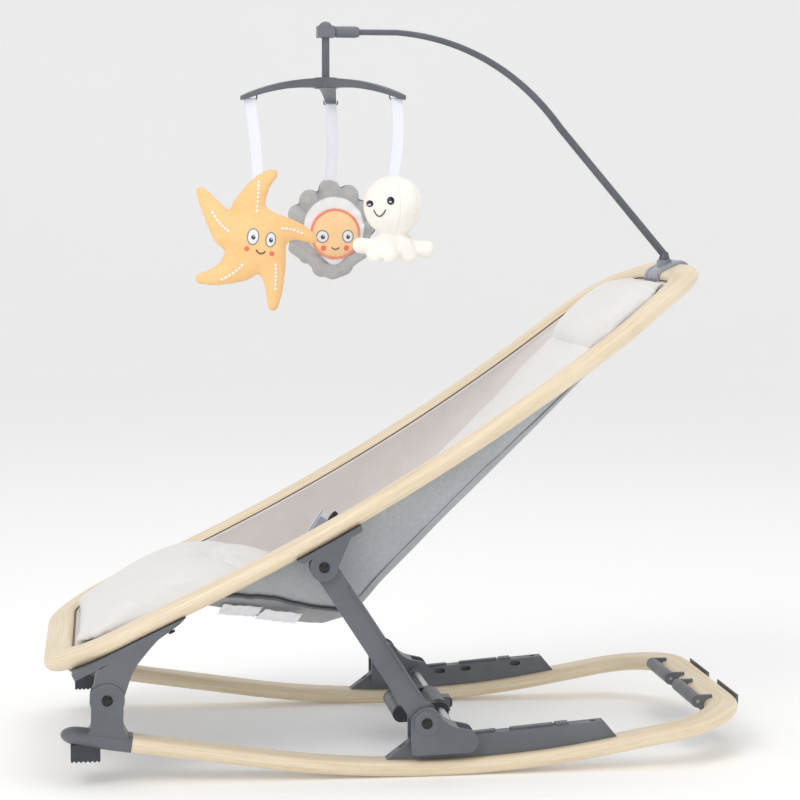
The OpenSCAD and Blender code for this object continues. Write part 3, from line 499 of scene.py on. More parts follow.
# Look: material's name, colour, roughness, grain, wear
PLASTIC = {
    "grey": ("grey_plastic", (99, 102, 108), 0.4),
    "hub": ("hub_plastic", (108, 112, 119), 0.4),
    "dark": ("dark_plastic", (44, 45, 50), 0.42),
    "rubber": ("foot_rubber", (62, 64, 70), 0.7, 0.35),
    "bolt": ("bolt_black", (14, 14, 16), 0.16, 0.02, 3),
    "black_bead": ("eye_bead", (22, 20, 22), 0.22, 0.04, 4),
    "rod": ("rod_plastic", (92, 95, 102), 0.36),
    # The clamp's plastic: the frame's grey plastic made lighter, a painted highlight for the light the glossy
    # clamp catches
    "saddle": ("saddle_plastic", (146, 150, 158), 0.28),
}
# Look: material's name, light and dark yarn, pitch, melange, sheen, roughness, depth
WOVEN = {
    "outer": ("outer_fabric", (193, 196, 201), (150, 154, 160), 1.1, 0.9),
    "under": ("under_fabric", (180, 181, 184), (136, 138, 142), 1.1, 0.9),
    "webbing": ("strap_webbing", (236, 237, 242), (214, 217, 225), 1.6, 0.7, 0.25, 0.85, 0.5),
    "ribbon": ("ribbon", (242, 243, 253), (236, 237, 250), 0.7, 0.5, 0.5, 0.5, 0.15),
    "hem": ("hem_fabric", (186, 189, 194), (142, 146, 152), 1.1, 0.9),
    "strap_core": ("strap_core", (168, 174, 188), (140, 147, 163), 1.0, 0.7),
    "tape": ("zip_tape", (120, 122, 128), (92, 94, 100), 1.0, 0.7),
    "label": ("care_label", (240, 241, 244), (228, 229, 234), 0.5, 0.3, 0.3, 0.6, 0.12),
}
# Look: material's name, light and dark tone, sheen, pile, depth, roughness
SOFT = {
    "liner": ("liner_fabric", (232, 230, 229), (227, 225, 224), 0.3, 1300, 0.06),
    # The liner fabric made darker and pinker: painted shade for the shaded inside walls of the seat
    "wall": ("liner_wall", (219, 212, 210), (213, 206, 204), 0.3, 1300, 0.06),
    "hem_thread": ("hem_thread", (186, 189, 194), (166, 169, 175), 0.1, 900, 0.3, 0.7),
    "dark_thread": ("dark_thread", (58, 60, 66), (40, 42, 48), 0.1, 900, 0.3, 0.7),
    # Dark brown welt: partly the welt's own colour, partly painted shade for the gap between the liner and the
    # rim
    "welt": ("rim_welt", (112, 96, 82), (84, 71, 60), 0.1, 900, 0.3, 0.8),
    "button": ("cushion_button", (236, 232, 228), (222, 217, 212), 0.4, 1300, 0.2),
    "piping": ("cushion_piping", (226, 223, 220), (212, 208, 205), 0.3, 1300, 0.2),
    "star": ("starfish_plush", (255, 213, 151), (252, 200, 134), 0.5, 1100, 0.3),
    "clam": ("clam_plush", (190, 190, 191), (174, 174, 176), 0.45, 1100, 0.35),
    "pearl": ("pearl_plush", (255, 219, 171), (254, 208, 153), 0.45, 1100, 0.3),
    "octopus": ("octopus_plush", (253, 251, 245), (246, 243, 235), 0.5, 1100, 0.3),
    "white_felt": ("white_felt", (246, 247, 249), (238, 240, 243), 0.35, 1400, 0.2),
    "eye_white": ("eye_thread_white", (246, 246, 248), (230, 231, 236), 0.2, 1600, 0.2),
    "eye_ring": ("eye_thread_ring", (150, 152, 160), (118, 121, 130), 0.2, 1600, 0.25),
    "eye_dark": ("eye_thread_dark", (84, 84, 92), (60, 60, 67), 0.2, 1600, 0.25),
    "coral": ("coral_thread", (244, 138, 112), (232, 116, 92), 0.3, 1500, 0.3),
    "brown": ("brown_thread", (120, 84, 62), (92, 62, 46), 0.2, 1500, 0.25),
    "shine": ("eye_shine", (205, 214, 240), (190, 200, 232), 0.1, 1600, 0.1),
    "star_seam": ("starfish_seam", (250, 204, 140), (240, 188, 122), 0.3, 1300, 0.3),
    "clam_seam": ("clam_seam", (160, 160, 162), (142, 142, 145), 0.3, 1300, 0.3),
    "octopus_seam": ("octopus_seam", (240, 236, 226), (230, 225, 214), 0.3, 1300, 0.3),
    "ring": ("ring_thread", (250, 164, 140), (240, 142, 118), 0.3, 1500, 0.3),
}
MAT = {"wood": wood_material(), "steel": metal_material("steel", (190, 192, 196), 0.3)}
for make, looks in ((plastic_material, PLASTIC), (woven_material, WOVEN), (soft_material, SOFT)):
    MAT.update({look: make(*settings) for look, settings in looks.items()})


# ---- Wooden frames --------------------------------------------------------------------------
BASE_HALF, BASE_R, REAR_X, BASE_FRONT = 190, 85, 399, -288


def bent_path(start, half, end, r, n=20):
    """From start along one side, round the bent end and back along the other side."""
    return (straight(start, -half, end - r, -half) + bend(end - r, r - half, r, -90, n)
            + straight(end, r - half, end, half - r) + bend(end - r, half - r, r, 0, n)
            + straight(end - r, half, start, half))


BASE_PATH = bent_path(BASE_FRONT, BASE_HALF, REAR_X, BASE_R) + [(BASE_FRONT, BASE_HALF, -1, 0)]
sweep_bar("wood_base", BASE_PATH, lambda x: (x, base_z(x)), base_angle, oval(BAR_W, BAR_H), False, "base",
          "base_frame")
RIM_PATH = (
    bent_path(RIM_FOOT + FOOT_R, RIM_HALF, RIM_HEAD, HEAD_R, 26)
    + bend(RIM_FOOT + FOOT_R, RIM_HALF - FOOT_R, FOOT_R, 90)
    + straight(RIM_FOOT, RIM_HALF - FOOT_R, RIM_FOOT, FOOT_R - RIM_HALF)
    + bend(RIM_FOOT + FOOT_R, FOOT_R - RIM_HALF, FOOT_R, 180)
)
sweep_bar("wood_rim", RIM_PATH, rim_point, rim_angle, oval(RIM_W, RIM_H), True, "seat", "seat_rim")


# ---- Soft seat ------------------------------------------------------------------------------
BAG_S = (-371, 423)
BAG_RINGS, BAG_COLUMNS = 150, 96
LINER_SQUARE = 9.5
BAG_TABLE = [(-371, 4), (-300, 6), (-218, 15), (-170, 50), (-108, 98), (-84, 109), (-60, 103), (-42, 94),
             (60, 65), (136, 48), (254, 24), (345, 8), (423, 4)]


def table(points, s):
    """A value at s, on straight lines between points given as (s, value)."""
    return float(np.interp(s, [p[0] for p in points], [p[1] for p in points]))


def bag_depth(s):
    """The bag's depth below the rim at its middle, smoothed."""
    return sum(table(BAG_TABLE, s + k) for k in (-12, -4, 4, 12)) / 4


def inner_half(s):
    """Half the width inside the rim."""
    w, rf, rh = RIM_HALF - RIM_W / 2 - 0.6, FOOT_R - RIM_W / 2, HEAD_R - RIM_W / 2
    f, h = max(0, BAG_S[0] + rf - s), max(0, s - (RIM_HEAD - RIM_W / 2 - rh))
    return w - (rf - sqrt(max(0, rf * rf - f * f))) - (rh - sqrt(max(0, rh * rh - h * h)))


def wall(v, p=8.0):
    """The bag's section: its depth, as a share of the middle's, at v across from -1 to 1."""
    return max(0.0, 1 - abs(v) ** p) ** 0.5


def liner_depth(s, y, inset=6.8):
    return (bag_depth(s) - inset) * wall(min(1, abs(y) / (inner_half(s) - inset)), LINER_SQUARE)


def to_seat(x, z):
    """The distance along the rim and below it of a point in X and Z."""
    s = (x - SEAT_X) / cos(SEAT_SLOPE)
    for _ in range(12):
        px, pz = rim_point(s)
        a = rim_angle(s)
        s += (x - px) * cos(a) + (z - pz) * sin(a)
    px, pz = rim_point(s)
    a = rim_angle(s)
    return s, (x - px) * sin(a) - (z - pz) * cos(a)


def fold(x, y, z=0.0):
    """Smooth noise from -1 to 1."""
    return noise.noise(Vector((x, y, z)))


def grid_normals(grid):
    """Unit normals of a grid of points, on the side of +Z."""
    along, across = np.gradient(grid, axis=0), np.gradient(grid, axis=1)
    n = np.cross(along, across)
    n /= np.maximum(np.linalg.norm(n, axis=2, keepdims=True), 1e-9)
    return n if n[..., 2].mean() > 0 else -n


def shell(name, top, bottom, body, look, replaces=(), sharp=60):
    """A closed sheet between two grids of points, with UV in metres measured along the cloth."""
    n, m = top.shape[:2]
    verts = [tuple(p) for p in top.reshape(-1, 3)] + [tuple(p) for p in bottom.reshape(-1, 3)]
    faces = grid_faces(n, m) + [tuple(n * m + i for i in f[::-1]) for f in grid_faces(n, m)]
    k = n * m
    for i in range(n - 1):
        a, b = i * m, (i + 1) * m
        faces += [(a, b, b + k, a + k), (a + m - 1, a + m - 1 + k, b + m - 1 + k, b + m - 1)]
    for j in range(m - 1):
        a, b = j, (n - 1) * m + j
        faces += [(a, a + k, a + 1 + k, a + 1), (b, b + 1, b + 1 + k, b + k)]
    step = np.linalg.norm(np.diff(top, axis=1), axis=2)
    across = np.concatenate([np.zeros((n, 1)), np.cumsum(step, axis=1)], axis=1)
    across -= across[:, m // 2:m // 2 + 1]
    run = np.linalg.norm(np.diff(top[:, m // 2], axis=0), axis=1)
    along = np.concatenate([[0], np.cumsum(run)])
    uv = [(along[i] / 1000, across[i, j] / 1000) for _ in (0, 1) for i in range(n) for j in range(m)]
    return outward(piece(name, verts, faces, body, look, replaces, uv=uv, sharp=sharp))


def bag_grid(inset=0.0, square=8.0):
    (s0, s1), n, m = BAG_S, BAG_RINGS, BAG_COLUMNS
    rings = []
    for i in range(n + 1):
        t = i / n
        s, si = s0 + (s1 - s0) * t, s0 + inset * (1 - 2 * t) + (s1 - s0) * t
        half, deep = inner_half(min(max(si, BAG_S[0]), BAG_S[1])) - inset, bag_depth(s) - inset
        ring = []
        for j in range(m + 1):
            v = spread(j, m)
            ring.append(seat_at(si, v * half, deep * wall(v, square)))
        rings.append(ring)
    return np.array(rings)


def add_outer_bag():
    outer = bag_grid()
    normal = grid_normals(outer)
    soft = np.array([[1.1 * fold(i * 0.07, j * 0.05) + 0.5 * fold(i * 0.2, j * 0.13, 3)
                      for j in range(outer.shape[1])] for i in range(outer.shape[0])])
    column = np.arange(BAG_COLUMNS + 1)
    fade = np.minimum(1, np.minimum(column, BAG_COLUMNS - column) / 16.0)[None, :]
    outer = outer - normal * (soft * fade)[..., None]
    bag = shell("bag_outer", outer + normal * 1.4, outer, "seat", "outer", ["seat_shell"])


def add_liner():
    top, bottom = (bag_grid(inset, LINER_SQUARE) for inset in (5.4, 4.3))
    normal = grid_normals(top)
    n, m = top.shape[:2]
    lift = np.zeros((n, m))
    for i in range(n):
        s = BAG_S[0] + (BAG_S[1] - BAG_S[0]) * i / (n - 1)
        for j in range(m):
            v = abs(spread(j, m - 1))
            on_wall = unit((v - 0.78) / 0.12) * unit((1 - v) / 0.012)
            gather = bell(s - 40, 130)
            crease = gather * fold(s / 16 + j / 60, j / 40, 7)
            lift[i, j] = on_wall * (1.6 * fold(s / 34, j / 22) + 1.6 * crease)
    top = top + normal * (lift[..., None] * 0.8 + 0.3)
    # The bag's liner takes the darker copy of the liner fabric, painted shade for its shaded walls
    liner = shell("bag_liner", top, bottom, "seat", "wall", ["seat_liner"])


def add_edge_line():
    """The liner's bound edge, and a dark welt line along the rim's inner edge: partly a real welt, partly
    painted shade for the shadowed gap where the liner meets the rim.
    """
    inner = [(p[0] - p[3] * (RIM_W / 2 - 0.2), p[1] + p[2] * (RIM_W / 2 - 0.2)) for p in RIM_PATH]
    bound = [(p[0] - p[3] * (RIM_W / 2 + 3.6), p[1] + p[2] * (RIM_W / 2 + 3.6)) for p in RIM_PATH]
    # The binding also takes the liner's darker copy, painted shade
    tube("liner_binding", [seat_at(u, y, 1.0) for u, y in bound], 2.9, "seat", "wall", 12, True)
    # A dark tube in the gap along the rim: a welt, made darker as painted shade for the shadowed gap
    tube("rim_welt", [seat_at(u, y, -2.0) for u, y in inner], 0.8, "seat", "welt", 8, True)


ZIP_TABLE = [(-224, 2), (-205, 6), (-186, 15), (-168, 26), (-145, 41.5), (-120, 66), (-92, 88), (-80, 94)]
SLACK_TABLE = [(-224, 0.5), (-206, 4), (-193, 8), (-157, 12), (-137, 11), (-120, 9.5), (-104, 7.5), (-90, 4),
               (-80, 0.5)]
PANEL_S = (-224, -80)


def zip_v(s):
    return (1 - min(0.985, table(ZIP_TABLE, s) / bag_depth(s)) ** 2) ** 0.125


def add_under_panel():
    """The slack zipped panel under the lap, and its zips."""
    n, m = 60, 90
    rings, slack = [], []
    for i in range(n + 1):
        s = PANEL_S[0] + (PANEL_S[1] - PANEL_S[0]) * i / n
        ring, row_slack = [], []
        for j in range(m + 1):
            w = spread(j, m)
            v = w * zip_v(s)
            ring.append(seat_at(s, v * inner_half(s), bag_depth(s) * wall(v)))
            edge = 1 - abs(w) ** 5
            crumple = 2.2 * fold(s / 15, w * 5) + 1.6 * fold(s / 7, w * 3, 9)
            sag = table(SLACK_TABLE, s)
            row_slack.append(1.3 + edge * (sag + crumple * min(1, sag / 6)))
        rings.append(ring)
        slack.append(row_slack)
    grid = np.array(rings)
    normal = grid_normals(grid)
    outer = grid - normal * np.array(slack)[..., None]
    panel = shell("bag_under_panel", outer + normal * 1.2, outer, "seat", "under")
    for side, sign in SIDES:
        column = m if sign > 0 else 0
        edge = [grid[i, column] - normal[i, column] * 1.6 + np.array((0, 0, 1.3 * fold(i / 5, sign)))
                for i in range(2, n - 2)]
        tube(f"bag_zip_tape_{side}", edge, 3.4, "seat", "tape", 10, flat=0.35)
        for k, up in ((0, 1.3), (1, -1.5)):
            line = [p + np.array((0, sign * 1.6, up)) for p in edge]
            tube(f"bag_zip_line_{side}_{k}", line, 0.8, "seat", "dark_thread", 8)


LABELS = {
    "care_label_1": [(-199, 21), (-161.5, 44.8), (-175.5, 50.6), (-209, 29)],
    "care_label_2": [(-161, 47.5), (-127, 72.4), (-140, 78.4), (-175.5, 52.2)],
}
LABEL_Y, LABEL_GRID, LABEL_WAVE, LABEL_T = (-166.5, -163, -158.5, -162), (16, 10), 2.6, 0.4


def add_labels():
    """Two small cloth labels with soft waves; their corners are given along and below the rim."""
    n, m = LABEL_GRID
    for name, spots in LABELS.items():
        a, b, c, d = (np.array(seat_at(s, y, d)) for (s, d), y in zip(spots, LABEL_Y))
        grid = np.array([[(a * (1 - u) + b * u) * (1 - v) + (d * (1 - u) + c * u) * v
                          for v in np.linspace(0, 1, m)] for u in np.linspace(0, 1, n)])
        normal = np.cross(b - a, d - a)
        normal /= np.linalg.norm(normal)
        for i in range(n):
            for j in range(m):
                grid[i, j] += normal * (LABEL_WAVE * fold(i * 0.35, j * 0.3))
        label = shell(name, grid + normal * LABEL_T, grid, "seat", "label")


def add_hem():
    """The doubled band along the lower corner of each side, with its two rows of stitches."""
    for side, sign in SIDES:
        rings = []
        for i in range(81):
            s = -78 + 400 * i / 80
            deep, ring = bag_depth(s), []
            band = 12.5 - 9.5 * unit((s - 120) / 200) + 1.2 * fold(i / 6, sign)
            lo, hi = max(0.0, deep - 2.2 - band) / deep, (deep - 2.2) / deep
            for j in range(9):
                r = lo + (hi - lo) * j / 8
                v = (1 - r * r) ** 0.125
                ring.append(seat_at(s, sign * v * inner_half(s), deep * wall(v)))
            rings.append(ring)
        grid = np.array(rings)
        normal = np.cross(np.gradient(grid, axis=0), np.gradient(grid, axis=1))
        normal /= np.linalg.norm(normal, axis=2, keepdims=True)
        if (normal[..., 1].mean() > 0) != (sign > 0):
            normal = -normal
        cloth = shell(f"bag_hem_{side}", grid + normal * 1.9, grid + normal * 0.5, "seat", "hem")
        for k, column in ((0, 0), (1, 8)):
            tube(f"bag_hem_stitch_{side}_{k}", grid[:, column] + normal[:, column] * 1.6, 0.4, "seat",
                 "hem_thread", 6)


PUFF = {"quality": 5, "mass": 0.3, "tension_stiffness": 12, "compression_stiffness": 12,
        "bending_stiffness": 0.6, "use_pressure": True, "uniform_pressure_force": 4.0}
PUFF_FRAMES = 20


def puff_up(obj, cap):
    """Inflates a closed piece with Blender's cloth, caps how far each point moves, and keeps the result."""
    scene = bpy.context.scene
    start = read_points(obj.data)
    mod = modify(obj, "CLOTH")
    for key, value in PUFF.items():
        setattr(mod.settings, key, value)
    mod.settings.effector_weights.gravity = 0
    mod.collision_settings.use_collision = False
    mod.point_cache.frame_start, mod.point_cache.frame_end = 1, PUFF_FRAMES
    for frame_number in range(1, PUFF_FRAMES + 1):
        scene.frame_set(frame_number)
    end = read_points(obj.evaluated_get(bpy.context.evaluated_depsgraph_get()).to_mesh())
    obj.modifiers.remove(mod)
    scene.frame_set(1)
    move = end - start
    size = np.linalg.norm(move, axis=1, keepdims=True)
    move *= np.minimum(1, cap / 1000 / np.maximum(size, 1e-9))
    write_points(obj.data, start + move)


PAD_VOXEL, PAD_EDGE = 4.5, 3.2
PAD_GAP, RIM_GAP = 6.2, 7


def add_pad(name, node, ends, top, half, shape, cap, n=44, m=40):
    """A pad between two distances along the seat: top(s, y) is its depth before it is puffed up, half(s) its
    half width and shape(s, y, d) the depth that sewing gives it."""
    up, low = [], []
    for i in range(n + 1):
        s = ends[0] + (ends[1] - ends[0]) * i / n
        spots = [(s, spread(j, m) * half(s)) for j in range(m + 1)]
        up.append([seat_at(s, y, min(top(s, y), liner_depth(s, y) - PAD_EDGE)) for s, y in spots])
        low.append([seat_at(s, y, liner_depth(s, y)) for s, y in spots])
    pad = shell(name, np.array(up), np.array(low), "seat", "liner", [node])
    modify(pad, "REMESH", mode="VOXEL", voxel_size=PAD_VOXEL / 1000)
    apply_modifiers(pad)
    puff_up(pad, cap)
    modify(pad, "SMOOTH", factor=0.5, iterations=6)
    modify(pad, "SUBSURF", levels=1, render_levels=1)
    apply_modifiers(pad)
    data = read_points(pad.data)
    for i, (x, y, z) in enumerate(data):
        s, d = to_seat(x * 1000 + SHIFT, z * 1000)
        y *= 1000
        d = shape(s, y, d)
        d = min(d, liner_depth(s, y, PAD_GAP) if abs(y) < inner_half(s) - RIM_GAP else d)
        data[i] = row(*seat_at(s, y, d))
    write_points(pad.data, data)
    smooth_mesh(pad.data, 80)
    return pad


LEG_TOP = [(-371, 2), (-366, -5), (-358, -10), (-350, -13), (-320, -20), (-285, -26), (-250, -27),
           (-223, -24), (-205, -19), (-190, -12), (-176, -5), (-163, 6), (-147, 19), (-134, 33), (-124, 48)]
TUFT = (-192, 0)


def leg_half(s):
    return min(inner_half(max(s, -366)) - 7, 154)


def leg_top(s, y):
    edge = min(1.0, abs(y) / leg_half(s)) ** 3.2
    return table(LEG_TOP, s) * (1 - edge) + (liner_depth(s, y) - 5) * edge


def leg_shape(s, y, d):
    """Sews the pad down: a button's dimple, the crease across it and the puckers round it."""
    r, turn = hypot(s - TUFT[0], y - TUFT[1]), atan2(y - TUFT[1], s - TUFT[0])
    up = unit((liner_depth(s, y) - d - 4) / 16)
    dent = 9 * bell(r, 17) + 8 * bell(r, 44)
    pucker = 1.7 * cos(7 * turn + 0.6) * bell(r - 26, 18)
    rear, front = TUFT[0] + 3 + 0.0026 * y * y, TUFT[0] - 2 - 0.0006 * y * y
    crease = 8 * bell(s - rear, 8) * bell(y, 130)
    crease += 3 * bell(s - front, 11) * bell(y, 75)
    ripple = 0.8 * fold(s / 40, y / 44) + 0.25 * fold(s / 16, y / 22, 5)
    return d + up * (dent + pucker + crease + ripple)


def back_half(s):
    tuck = unit((s - 286) / 44)
    return min(inner_half(s) - 16, 119 - 34 * tuck * tuck)


def back_top(s, y):
    return liner_depth(s, y) - 3.4 - 6.0 * (1 - min(1.0, abs(y) / back_half(s)) ** 4)


def back_shape(s, y, d):
    up = unit((liner_depth(s, y) - d - 3) / 5)
    channel = 1.6 * bell(s - 38, 9) * exp(-((y / 104) ** 8))
    return d + up * (channel + 0.7 * fold(s / 44, y / 40) + 0.2 * fold(s / 16, y / 20, 2))


PILLOW_TOP = [(288, 14), (291, 5), (296, -3), (304, -9), (316, -13), (330, -15.5), (344, -17), (360, -17.5),
              (384, -16), (406, -9.5), (418, -3.5), (426, 0.5)]


def pillow_half(s):
    corner = 54 * (1 - sqrt(max(0.0, 1 - (max(0.0, 344 - s) / 55) ** 2)))
    return min(129 - corner, inner_half(min(s, 420)) - 8)


def pillow_top(s, y):
    edge = min(1.0, abs(y) / pillow_half(s)) ** 2.8
    return table(PILLOW_TOP, s) * (1 - edge) + (liner_depth(s, y) - 4) * edge


def pillow_shape(s, y, d):
    up = unit((liner_depth(s, y) - d - 4) / 10)
    return d + up * (0.7 * fold(s / 34, y / 36, 4) + 0.2 * fold(s / 14, y / 16, 6))


ABOVE_PADS, BELOW_PADS = -90, 140


def seat_hit(tree, s, y):
    """Where a line down through the seat meets a pad."""
    top, low = row(*seat_at(s, y, ABOVE_PADS)), row(*seat_at(s, y, BELOW_PADS))
    return tree.ray_cast(top, (low - top).normalized())[0]


BUTTON = [(0.05, 3.2), (3, 3.1), (5.6, 2.6), (7.2, 1.6), (7.8, 0.4), (7.4, -0.8), (6, -1.4), (0.05, -1.4)]


def add_button(leg):
    """The button in the leg cushion's tuft, with its rolled edge."""
    hit = seat_hit(tree_of(leg), *TUFT)
    s, d = to_seat(hit.x * 1000 + SHIFT, hit.z * 1000)
    m = 28
    verts = [seat_at(s + r * cos(a), r * sin(a), d - 1.5 - h) for r, h in BUTTON for a in turns(m)]
    faces = grid_faces(len(BUTTON), m, closed_m=True) + end_caps(len(BUTTON), m)
    outward(piece("leg_cushion_button", verts, faces, "seat", "button", sharp=50))


def add_piping(name, pad, s, half):
    """The corded edge across a pad."""
    tree, line = tree_of(pad), []
    a = rim_angle(s)
    for y in np.linspace(-half, half, 50):
        hit = seat_hit(tree, s, y)
        spot = seat_at(s, y, liner_depth(s, y) - 2) if hit is None else back_to_mm(hit)
        line.append(Vector(spot) + Vector((-sin(a), 0, cos(a))) * 0.2)
    tube(name, line, 1.5, "seat", "piping", 8)


def add_pads():
    leg = add_pad("leg_cushion", "leg_pad", (-370, -126), leg_top, leg_half, leg_shape, 6)
    back = add_pad("back_cushion", "back_pad", (-66, 330), back_top, back_half, back_shape, 4, 60)
    add_pad("head_cushion", "head_pillow", (290, 424), pillow_top, pillow_half, pillow_shape, 5)
    add_button(leg)
    add_piping("back_piping", back, -62, 112)
    add_piping("leg_piping", leg, -132, 140)


def strip(name, centre, across, thick, width, body, look, replaces=(), m=5):
    """A strap along centre points; across is the way its width runs."""
    centre = [Vector(c) for c in centre]
    n = len(centre)
    top, bottom = np.zeros((n, m, 3)), np.zeros((n, m, 3))
    for i, c in enumerate(centre):
        run = (centre[min(i + 1, n - 1)] - centre[max(i - 1, 0)]).normalized()
        side = Vector(across)
        side = (side - run * side.dot(run)).normalized()
        up = side.cross(run)
        for j in range(m):
            q = c + side * (width * (j / (m - 1) - 0.5))
            top[i, j], bottom[i, j] = q + up * thick / 2, q - up * thick / 2
    return shell(name, top, bottom, body, look, replaces, 50)


def add_harness():
    # Crotch strap, up from between the pads to the buckle
    path = [seat_at(s, 0, liner_depth(s, 0) - h) for s, h in
            ((-131, 1.5), (-124, 5), (-115, 7.5), (-105, 8.5), (-96, 9.5), (-88, 11.5), (-81, 13))]
    strap = strip("strap_crotch", path, (0, 1, 0), 2.0, 28, "seat", "webbing", ["crotch_strap"])
    tilt = radians(28)
    for side, sign in SIDES:
        path = []
        for k in range(19):
            t = k / 18
            y = 24 + 118 * t
            s = -80 - 5 * sin(pi * t) + 4 * t
            path.append(seat_at(s, sign * y, liner_depth(s, y) - 11 + 4.5 * t - 3 * sin(pi * t)))
        strap = strip(f"strap_waist_{side}", path, (cos(tilt), 0, sin(tilt)), 1.8, 22, "seat",
                      "webbing", [f"waist_strap_{side}"])
    # The strap's spare end stands up beside the near side, with its stitched border and dark clip
    lean = [(-86, 14), (-80, 10.5), (-74, 7.4), (-68, 4.4), (-62, 1.4), (-56, -1.4), (-50, -4.6)]
    path = [seat_at(s, -112 + 1.2 * k, d) for k, (s, d) in enumerate(lean)]
    end = strip("strap_end", path, (1, 0.1, 0), 1.8, 16, "seat", "webbing")
    inner = [Vector(p) + Vector((0, -1.5, 0)) for p in path[1:-1]]
    strip("strap_end_lining", inner, (1, 0.1, 0), 1.0, 9, "seat", "strap_core")
    for side, sign in SIDES:
        shift = 6.6 * sign
        edge = [Vector(p) + Vector((shift * 0.8, -1.1, -shift * 0.6)) for p in path]
        tube(f"strap_end_stitch_{side}", edge, 0.5, "seat", "strap_core", 6)
    clip = [seat_at(s, -104, d) for s, d in ((-60, 12), (-54, 8), (-48, 4), (-43, 1), (-40, 0))]
    tube("strap_end_clip", clip, [5.0, 5.6, 5.6, 4.8, 3.2], "seat", "dark", 16, flat=0.5)


add_outer_bag()
add_liner()
add_edge_line()
add_under_panel()
add_labels()
add_hem()
add_pads()
add_harness()


# ---- Toys -----------------------------------------------------------------------------------
HUB_X, ARM_REACH = -49, 97
SWING_Z = 749.6
RIBBON_W, RIBBON_T, RIBBON_LEG, SELVEDGE = 13, 0.5, 1.45, 6.1
TOYS_FRONT = -400


def arm_tip(turn):
    """Where the arm at this turn, in degrees, ends."""
    a = radians(turn - 9)
    return HUB_X + ARM_REACH * cos(a), ARM_REACH * sin(a)


STAR_AT, CLAM_AT, OCTOPUS_AT = arm_tip(210), arm_tip(90), arm_tip(330)


def chain(points, step=0.28):
    """Balls (x, z, y, r, flatness) close enough together to merge, along key balls."""
    out = []
    for a, b in zip(points, points[1:]):
        size = hypot(b[0] - a[0], b[1] - a[1], b[2] - a[2])
        n = max(1, ceil(size / (step * min(a[3], b[3]))))
        out += [tuple(p + (q - p) * k / n for p, q in zip(a, b)) for k in range(n)]
    return out + [points[-1]]


def plush(name, balls, body, look, replaces=(), voxel=1.7, smooth=14):
    """A stuffed piece: balls (x, z, y, r, flatness in Y) melted into one skin."""
    verts, faces, rings, seg = [], [], 12, 20
    for x, z, y, r, flat in balls:
        base = len(verts)
        verts.append((x, y, z + r))
        for i in range(1, rings):
            a = pi * i / rings
            verts += [(x + r * sin(a) * cos(t), y + r * flat * sin(a) * sin(t),
                       z + r * cos(a)) for t in turns(seg)]
        verts.append((x, y, z - r))
        last = len(verts) - 1
        for k in range(seg):
            faces.append((base, base + 1 + (k + 1) % seg, base + 1 + k))
            faces.append((last, last - seg + k, last - seg + (k + 1) % seg))
            for i in range(rings - 2):
                p = base + 1 + i * seg
                faces.append((p + k, p + (k + 1) % seg, p + seg + (k + 1) % seg, p + seg + k))
    obj = piece(name, verts, faces, body, look, replaces, sharp=80)
    modify(obj, "REMESH", mode="VOXEL", voxel_size=voxel / 1000)
    modify(obj, "SMOOTH", factor=0.5, iterations=smooth)
    apply_modifiers(obj)
    smooth_mesh(obj.data, 80)
    return obj


def front_y(tree, x, z, missing=None):
    """Where a line from the front, -Y, meets the toy."""
    hit = tree.ray_cast(row(x, TOYS_FRONT, z), Vector((0, 1, 0)))[0]
    return missing if hit is None else hit.y * 1000


def patch(name, target, outline, body, look, lift, dome=0.0, rings=7, skirt=2.0):
    """A piece sewn on a toy's front, inside an outline given as (x, z)."""
    m = len(outline)
    cx, cz = sum(p[0] for p in outline) / m, sum(p[1] for p in outline) / m
    middle = front_y(target, cx, cz)
    verts, faces, last = [(cx, middle - lift - dome, cz)], [], [middle] * m
    for k in range(1, rings + 1):
        t = k / rings
        for i, (x, z) in enumerate(outline):
            px, pz = cx + (x - cx) * t, cz + (z - cz) * t
            last[i] = front_y(target, px, pz, last[i])
            verts.append((px, last[i] - lift - dome * (1 - t ** 2.6), pz))
    for i, (x, z) in enumerate(outline):
        verts.append((cx + (x - cx) * 0.995, last[i] + skirt, cz + (z - cz) * 0.995))
    faces += [(0, 1 + (i + 1) % m, 1 + i) for i in range(m)]
    for k in range(rings):
        a, b = 1 + k * m, 1 + (k + 1) * m
        faces += [(a + i, a + (i + 1) % m, b + (i + 1) % m, b + i) for i in range(m)]
    faces.append(tuple(1 + rings * m + i for i in range(m)))
    return outward(piece(name, verts, faces, body, look, sharp=65))


def ellipse(cx, cz, rx, rz, n=36, turn=0.0):
    t = radians(turn)
    return [(cx + rx * cos(a) * cos(t) - rz * sin(a) * sin(t),
             cz + rx * cos(a) * sin(t) + rz * sin(a) * cos(t))
            for a in turns(n)]


def thread(name, target, points, radius, body, look, lift=0.3, closed=False, ring=8):
    """A thread over a toy's front; points that miss the toy are left out."""
    hits = [(x, front_y(target, x, z), z) for x, z in points]
    line = [(x, y - lift, z) for x, y, z in hits if y is not None]
    return tube(name, line, radius, body, look, ring, closed)


def curve_through(points, n=16):
    """A smooth line of n points through three (x, z) points."""
    t = np.linspace(0, 1, len(points))
    fit = [np.polyfit(t, [p[k] for p in points], 2) for k in (0, 1)]
    return [(float(np.polyval(fit[0], u)), float(np.polyval(fit[1], u))) for u in np.linspace(0, 1, n)]


